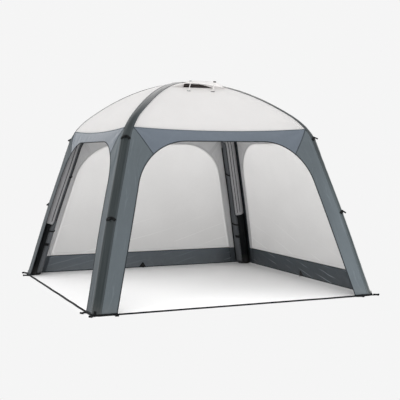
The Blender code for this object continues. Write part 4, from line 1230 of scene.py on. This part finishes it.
class GAZEBO_OT_bindings(Operator):
    """Add the dark binding of the doorway arches, the eave piping, the corner seams and the wall zips"""
    bl_idname = "gazebo.bindings"
    bl_label = "Bindings and seams"

    def execute(self, context):
        right = door_edge(np.linspace(0.008, 8.0, 97))
        edge = np.concatenate([right, arch_top_edge(40)[1:-1], right[::-1] * (-1.0, 1.0)])
        eave = leave_line()[-1, [0, 2]]
        across = np.linspace(1.0, -1.0, 121)
        piping = side_bar(eave[0] * across, eave[1], sizes().piping, 0.0045, -0.0015,
                          lowered=sizes().eave_sag * (1.0 - across ** 2))
        seam = between(eave, right[-1], column(0.01, 0.985, 40))
        seams = [side_bar(sign * seam[:, 0], seam[:, 1], 0.0045, 0.0034, -0.0012) for sign in (-1.0, 1.0)]
        zips = [side_bar(-post_x(level) * across, level, 0.010, 0.0052, -0.0032)
                for level in (SKIRT_HEIGHT, 0.009)]
        width = sizes().binding
        for side, turns in SIDES.items():
            # on the closed sides the binding lies on the outer face only
            closed = side in CLOSED
            thick, base = (0.0026, -0.0002) if closed else (0.0068, -0.0040)
            binding = side_bar(edge[:, 0], edge[:, 1], width, thick, base, shift=0.003 - 0.5 * width)
            add_piece("Eave_piping_" + side, piping, webbing("Slate piping"), turns, None)
            if side == "left":
                self.door_facing(side, "back", 1.0, turns)
            add_piece("Binding_" + side, joined([binding] + seams + zips * closed), webbing("Dark binding"),
                      turns, None)
        return {"FINISHED"}

    def door_facing(self, side, end, sign, turns):
        """The facing that turns inwards along one post of an open doorway, with its half of a zip.

        It is as deep as the facing size on the post and runs out to nothing at the arch's seam.
        """
        step = np.linspace(0.05, 7.6, 90)
        edge = door_edge(step)
        share = row(0.0, 1.0, 7)
        depth = 0.0035 + sizes().facing * smooth((7.6 - step) / 3.0)[:, None] * share
        grid = side_points(sign * edge[:, :1], edge[:, 1:], inward=depth)
        normal = np.array([-sign, 0.0, 0.0])
        lay_cloth("Door_facing_%s_%s" % (side, end), grid, cloth("Facing cloth"), turns, node=None,
                  facing=normal)
        zip_half = bar(grid[:-8, -1], normal, 0.008, 0.0045, -0.002)
        add_piece("Door_zip_%s_%s" % (side, end), zip_half, webbing(), turns, None)


class GAZEBO_OT_vent(Operator):
    """Add the roof vent: its hood, insect mesh, curb, props and touch fastener"""
    bl_idname = "gazebo.vent"
    bl_label = "Roof vent"

    def execute(self, context):
        self.hood()
        self.mesh_and_curb()
        self.props()
        return {"FINISHED"}

    def hood_surface(self, share, across):
        """The hood from its sewn back edge, share 0, to its free front edge, share 1.

        The front edge rises from its two tips by a smooth step of the distance from them.
        """
        lift = smooth((1.0 - np.abs(across)) / 0.50)
        front_x = np.sign(across) * np.interp(np.abs(across), HOOD_COLUMNS, HOOD_TIPS)
        front_y = 0.40 + 0.10 * smooth((1.0 - np.abs(across)) / 0.4)
        front_z = roof_height(front_x, front_y) + 0.003 + HOOD_LIFT * lift
        back_x, back_y = 0.095 * across, 0.165
        back_z = roof_height(back_x, back_y) + 0.003
        x, y = between(back_x, front_x, share), between(back_y, front_y, share)
        z = between(back_z, front_z, share) + 0.010 * np.sin(math.pi * share) * lift
        return place(x, -y, np.maximum(z, roof_height(x, y) + 0.003))

    def hood(self):
        """The hood as one sheet with a stitched front hem."""
        across = row(-1.0, 1.0, 61)
        look = cloth("Hood cloth")
        surface = self.hood_surface(column(0.0, 1.0, 33), across)
        lay_cloth("Vent_hood", surface, look, facing=UP, thick=0.0016)
        hem = bar(self.hood_surface(np.ones((1, 1)), across)[0], (0.0, -0.35, 1.0), 0.009, 0.0042, -0.003)
        add_piece("Vent_hood_hem", hem, look, node=None)

    def mesh_and_curb(self):
        """The insect mesh just under the roof's face, and the strip sewn round the opening."""
        share = column(0.0, 1.0, 17)
        y = between(VENT_DEPTHS[0], VENT_DEPTHS[1], share)
        x = VENT_CENTRE + between(VENT_HALVES[0], VENT_HALVES[1], share) * row(-1.0, 1.0, 25)
        grid = place(x, -y, roof_height(x, y) - 0.0025)
        lay_cloth("Vent_mesh", grid, (mesh_material(), "charcoal_cloth"), facing=UP, thick=0.0006)
        front, back = VENT_HALVES
        along = np.linspace(0.0, 4.0, 97)
        x = VENT_CENTRE + np.interp(along, np.arange(5), (-front, front, back, -back, -front))
        y = np.interp(along, np.arange(5), [VENT_DEPTHS[index] for index in (0, 0, 1, 1, 0)])
        curb = bar(place(x, -y, roof_height(x, y)), (0.0, -0.2, 1.0), 0.016, 0.004, -0.0015)
        add_piece("Vent_curb", curb, cloth("Hood cloth"), node=None)

    def props(self):
        """The two flat props, each with touch fastener at its top and a tab at its foot."""
        for hand, sign in (("left", -1.0), ("right", 1.0)):
            top_x = sign * 0.14
            foot = np.array([top_x - 0.03, -0.51, float(roof_height(top_x - 0.03, 0.51)) + 0.002])
            across = np.array([[np.interp(abs(top_x), HOOD_TIPS, HOOD_COLUMNS) * sign]])
            top = self.hood_surface(np.full((1, 1), 0.985), across)[0, 0] - 0.003 * UP
            share = column(0.0, 1.0, 15)
            line = between(foot, top, share) + np.sin(math.pi * share) * (0.0, -0.006, 0.0)
            prop = bar(line, (1.0, 0.0, 0.0), 0.020, 0.004, -0.002)
            add_piece("Vent_prop_" + hand, prop, cloth("Hood cloth"))
            pad_x, pad_y = foot[0] + np.linspace(-0.019, 0.019, 9), foot[1] - 0.004
            pad = place(pad_x, pad_y, roof_height(pad_x, -pad_y) + 0.0002)
            cap = top + place(np.linspace(-0.015, 0.015, 9), -0.003, 0.0005)
            fastener = joined([bar(pad, (0.0, -0.3, 1.0), 0.020, 0.004),
                               bar(cap, (0.0, -0.6, 1.0), 0.024 if sign > 0.0 else 0.012, 0.005)])
            material = webbing()[0] if sign > 0.0 else cloth("Facing cloth")[0]
            add_piece("Vent_fastener_" + hand, fastener, (material, "black_webbing"), node=None)


def mesh_material():
    """Insect mesh: dark threads across and along, with clear gaps between."""
    made, nodes = start_material("Insect mesh")
    lines = []
    for distance in nodes.split(nodes.cloth_uv())[:2]:
        turn = nodes.calc("FRACT", nodes.mul(distance, MESH_THREADS))
        lines.append(nodes.ramp(nodes.size(nodes.sub(turn, 0.5)), 0.24, 0.30))
    thread = nodes.calc("MAXIMUM", *lines)
    tone = nodes.blend(thread, (0.026, 0.022, 0.021, 1.0), (0.050, 0.043, 0.042, 1.0))
    surface = nodes.principled(tone, Roughness=nodes.ramp(thread, 0.0, 1.0, 0.8, 0.6),
                               Alpha=nodes.ramp(thread, 0.0, 1.0, 0.94, 1.0), Specular_IOR_Level=0.0)
    nodes.put("ShaderNodeOutputMaterial", surface)
    return made


class GAZEBO_OT_stage(Operator):
    """Add the pale floor, the soft studio light and the camera"""
    bl_idname = "gazebo.stage"
    bl_label = "Stage"

    def execute(self, context):
        scene = context.scene
        mesh = bpy.data.meshes.new("Stage_floor")
        ends = ((-1.0, -1.0), (1.0, -1.0), (1.0, 1.0), (-1.0, 1.0))
        mesh.from_pydata([(FLOOR_REACH * x, FLOOR_REACH * y, 0.0) for x, y in ends], [], [(0, 1, 2, 3)])
        mesh.materials.append(self.floor_material())
        floor = bpy.data.objects.new("Stage_floor", mesh)
        scene.collection.objects.link(floor)
        self.light(scene)
        camera = bpy.data.objects.new("Photo camera", bpy.data.cameras.new("Photo camera"))
        camera.location = CAMERA_PLACE
        camera.rotation_euler = (math.radians(CAMERA_TILT), 0.0, math.radians(CAMERA_HEADING))
        camera.data.lens = CAMERA_LENS
        camera.data.sensor_width = 36.0
        camera.data.clip_end = 1000.0
        scene.collection.objects.link(camera)
        scene.camera = camera
        scene.view_settings.view_transform = "Standard"
        return {"FINISHED"}

    def floor_material(self):
        """Pale floor: shadows show under the roof, and outside the gazebo it is the backdrop's even white.

        Light is painted onto it as a glow where the open sides let the studio light in, and a painted
        shadow dims that glow behind the front left leg.
        """
        made, nodes = start_material("Pale floor")
        spot = nodes.spot()
        x, y, _ = nodes.split(spot)
        grain = nodes.noise(spot, 40.0, 3.0, 0.6)
        tone = nodes.blend(nodes.ramp(grain, 0.3, 0.7), (0.90, 0.90, 0.90, 1.0), (0.91, 0.91, 0.91, 1.0))
        # painted shadow behind the front left leg, and painted light from the open sides
        behind_leg = nodes.mul(nodes.ramp(x, -0.5, -1.3), nodes.ramp(y, -1.3, -0.6))
        open_side = nodes.ramp(nodes.calc("MAXIMUM", x, y), 1.5, -0.6, 0.0, FLOOR_PAINTED_LIGHT)
        painted_light = nodes.mul(open_side, nodes.sub(1.0, nodes.mul(behind_leg, 0.9)))
        surface = nodes.principled(tone, Roughness=nodes.ramp(grain, 0.3, 0.7, 0.85, 0.95),
                                   Emission_Color=(1.0, 1.0, 1.0, 1.0), Emission_Strength=painted_light,
                                   Specular_IOR_Level=0.0)
        outside = nodes.ramp(nodes.calc("MAXIMUM", nodes.size(x), nodes.size(y)), 1.46, 1.60)
        white = nodes.put("ShaderNodeEmission", (BACKDROP, BACKDROP, BACKDROP, 1.0), 1.0).outputs[0]
        mixed = nodes.put("ShaderNodeMixShader", outside, surface, white).outputs[0]
        nodes.put("ShaderNodeOutputMaterial", mixed)
        return made

    def light(self, scene):
        """Even light from a white surround, and a wide key from the front left above."""
        world = bpy.data.worlds.new("Studio")
        world.use_nodes = True
        world.node_tree.nodes.clear()
        nodes = Nodes(world.node_tree)
        seen = nodes.put("ShaderNodeBackground", (BACKDROP, BACKDROP, BACKDROP, 1.0), 1.0).outputs[0]
        lit = nodes.put("ShaderNodeBackground", (1.0, 1.0, 1.0, 1.0), SURROUND).outputs[0]
        eye = nodes.put("ShaderNodeLightPath").outputs["Is Camera Ray"]
        nodes.put("ShaderNodeOutputWorld", nodes.put("ShaderNodeMixShader", eye, lit, seen).outputs[0])
        scene.world = world
        data = bpy.data.lights.new("Key", "SUN")
        data.energy = KEY_LIGHT
        data.angle = math.radians(60.0)
        lamp = bpy.data.objects.new("Key", data)
        lamp.rotation_euler = (math.radians(40.0), 0.0, math.radians(-52.0))
        scene.collection.objects.link(lamp)


STEPS = (GAZEBO_OT_air_beams, GAZEBO_OT_ridge_sleeves, GAZEBO_OT_roof, GAZEBO_OT_eave_bands,
         GAZEBO_OT_leg_wings, GAZEBO_OT_walls, GAZEBO_OT_bindings, GAZEBO_OT_boots_and_flaps,
         GAZEBO_OT_guy_straps, GAZEBO_OT_feet, GAZEBO_OT_vent, GAZEBO_OT_stage)


class GAZEBO_PT_sidebar(Panel):
    """Lists the gazebo's pieces, sizes and colours"""
    bl_label = "Inflatable gazebo"
    bl_idname = "GAZEBO_PT_sidebar"
    bl_space_type = "VIEW_3D"
    bl_region_type = "UI"
    bl_category = "Gazebo"

    def draw(self, context):
        layout = self.layout
        for group in (context.scene.gazebo_sizes, context.scene.gazebo_colours):
            for name in group.bl_rna.properties.keys():
                if name not in ("rna_type", "name"):
                    layout.prop(group, name)
        for step in STEPS:
            layout.operator(step.bl_idname)


CLASSES = (GazeboSizes, GazeboColours) + STEPS + (GAZEBO_PT_sidebar,)


def register():
    """Add the classes and the settings to Blender."""
    for item in CLASSES:
        bpy.utils.register_class(item)
    bpy.types.Scene.gazebo_sizes = PointerProperty(type=GazeboSizes)
    bpy.types.Scene.gazebo_colours = PointerProperty(type=GazeboColours)


def unregister():
    """Take the classes and the settings out of Blender."""
    del bpy.types.Scene.gazebo_colours
    del bpy.types.Scene.gazebo_sizes
    for item in reversed(CLASSES):
        bpy.utils.unregister_class(item)


def main():
    """Register the add-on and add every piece."""
    register()
    bpy.ops.gazebo.air_beams()
    bpy.ops.gazebo.ridge_sleeves()
    bpy.ops.gazebo.roof()
    bpy.ops.gazebo.eave_bands()
    bpy.ops.gazebo.leg_wings()
    bpy.ops.gazebo.walls()
    bpy.ops.gazebo.bindings()
    bpy.ops.gazebo.boots_and_flaps()
    bpy.ops.gazebo.guy_straps()
    bpy.ops.gazebo.feet()
    bpy.ops.gazebo.vent()
    bpy.ops.gazebo.stage()


if __name__ == "__main__":
    main()
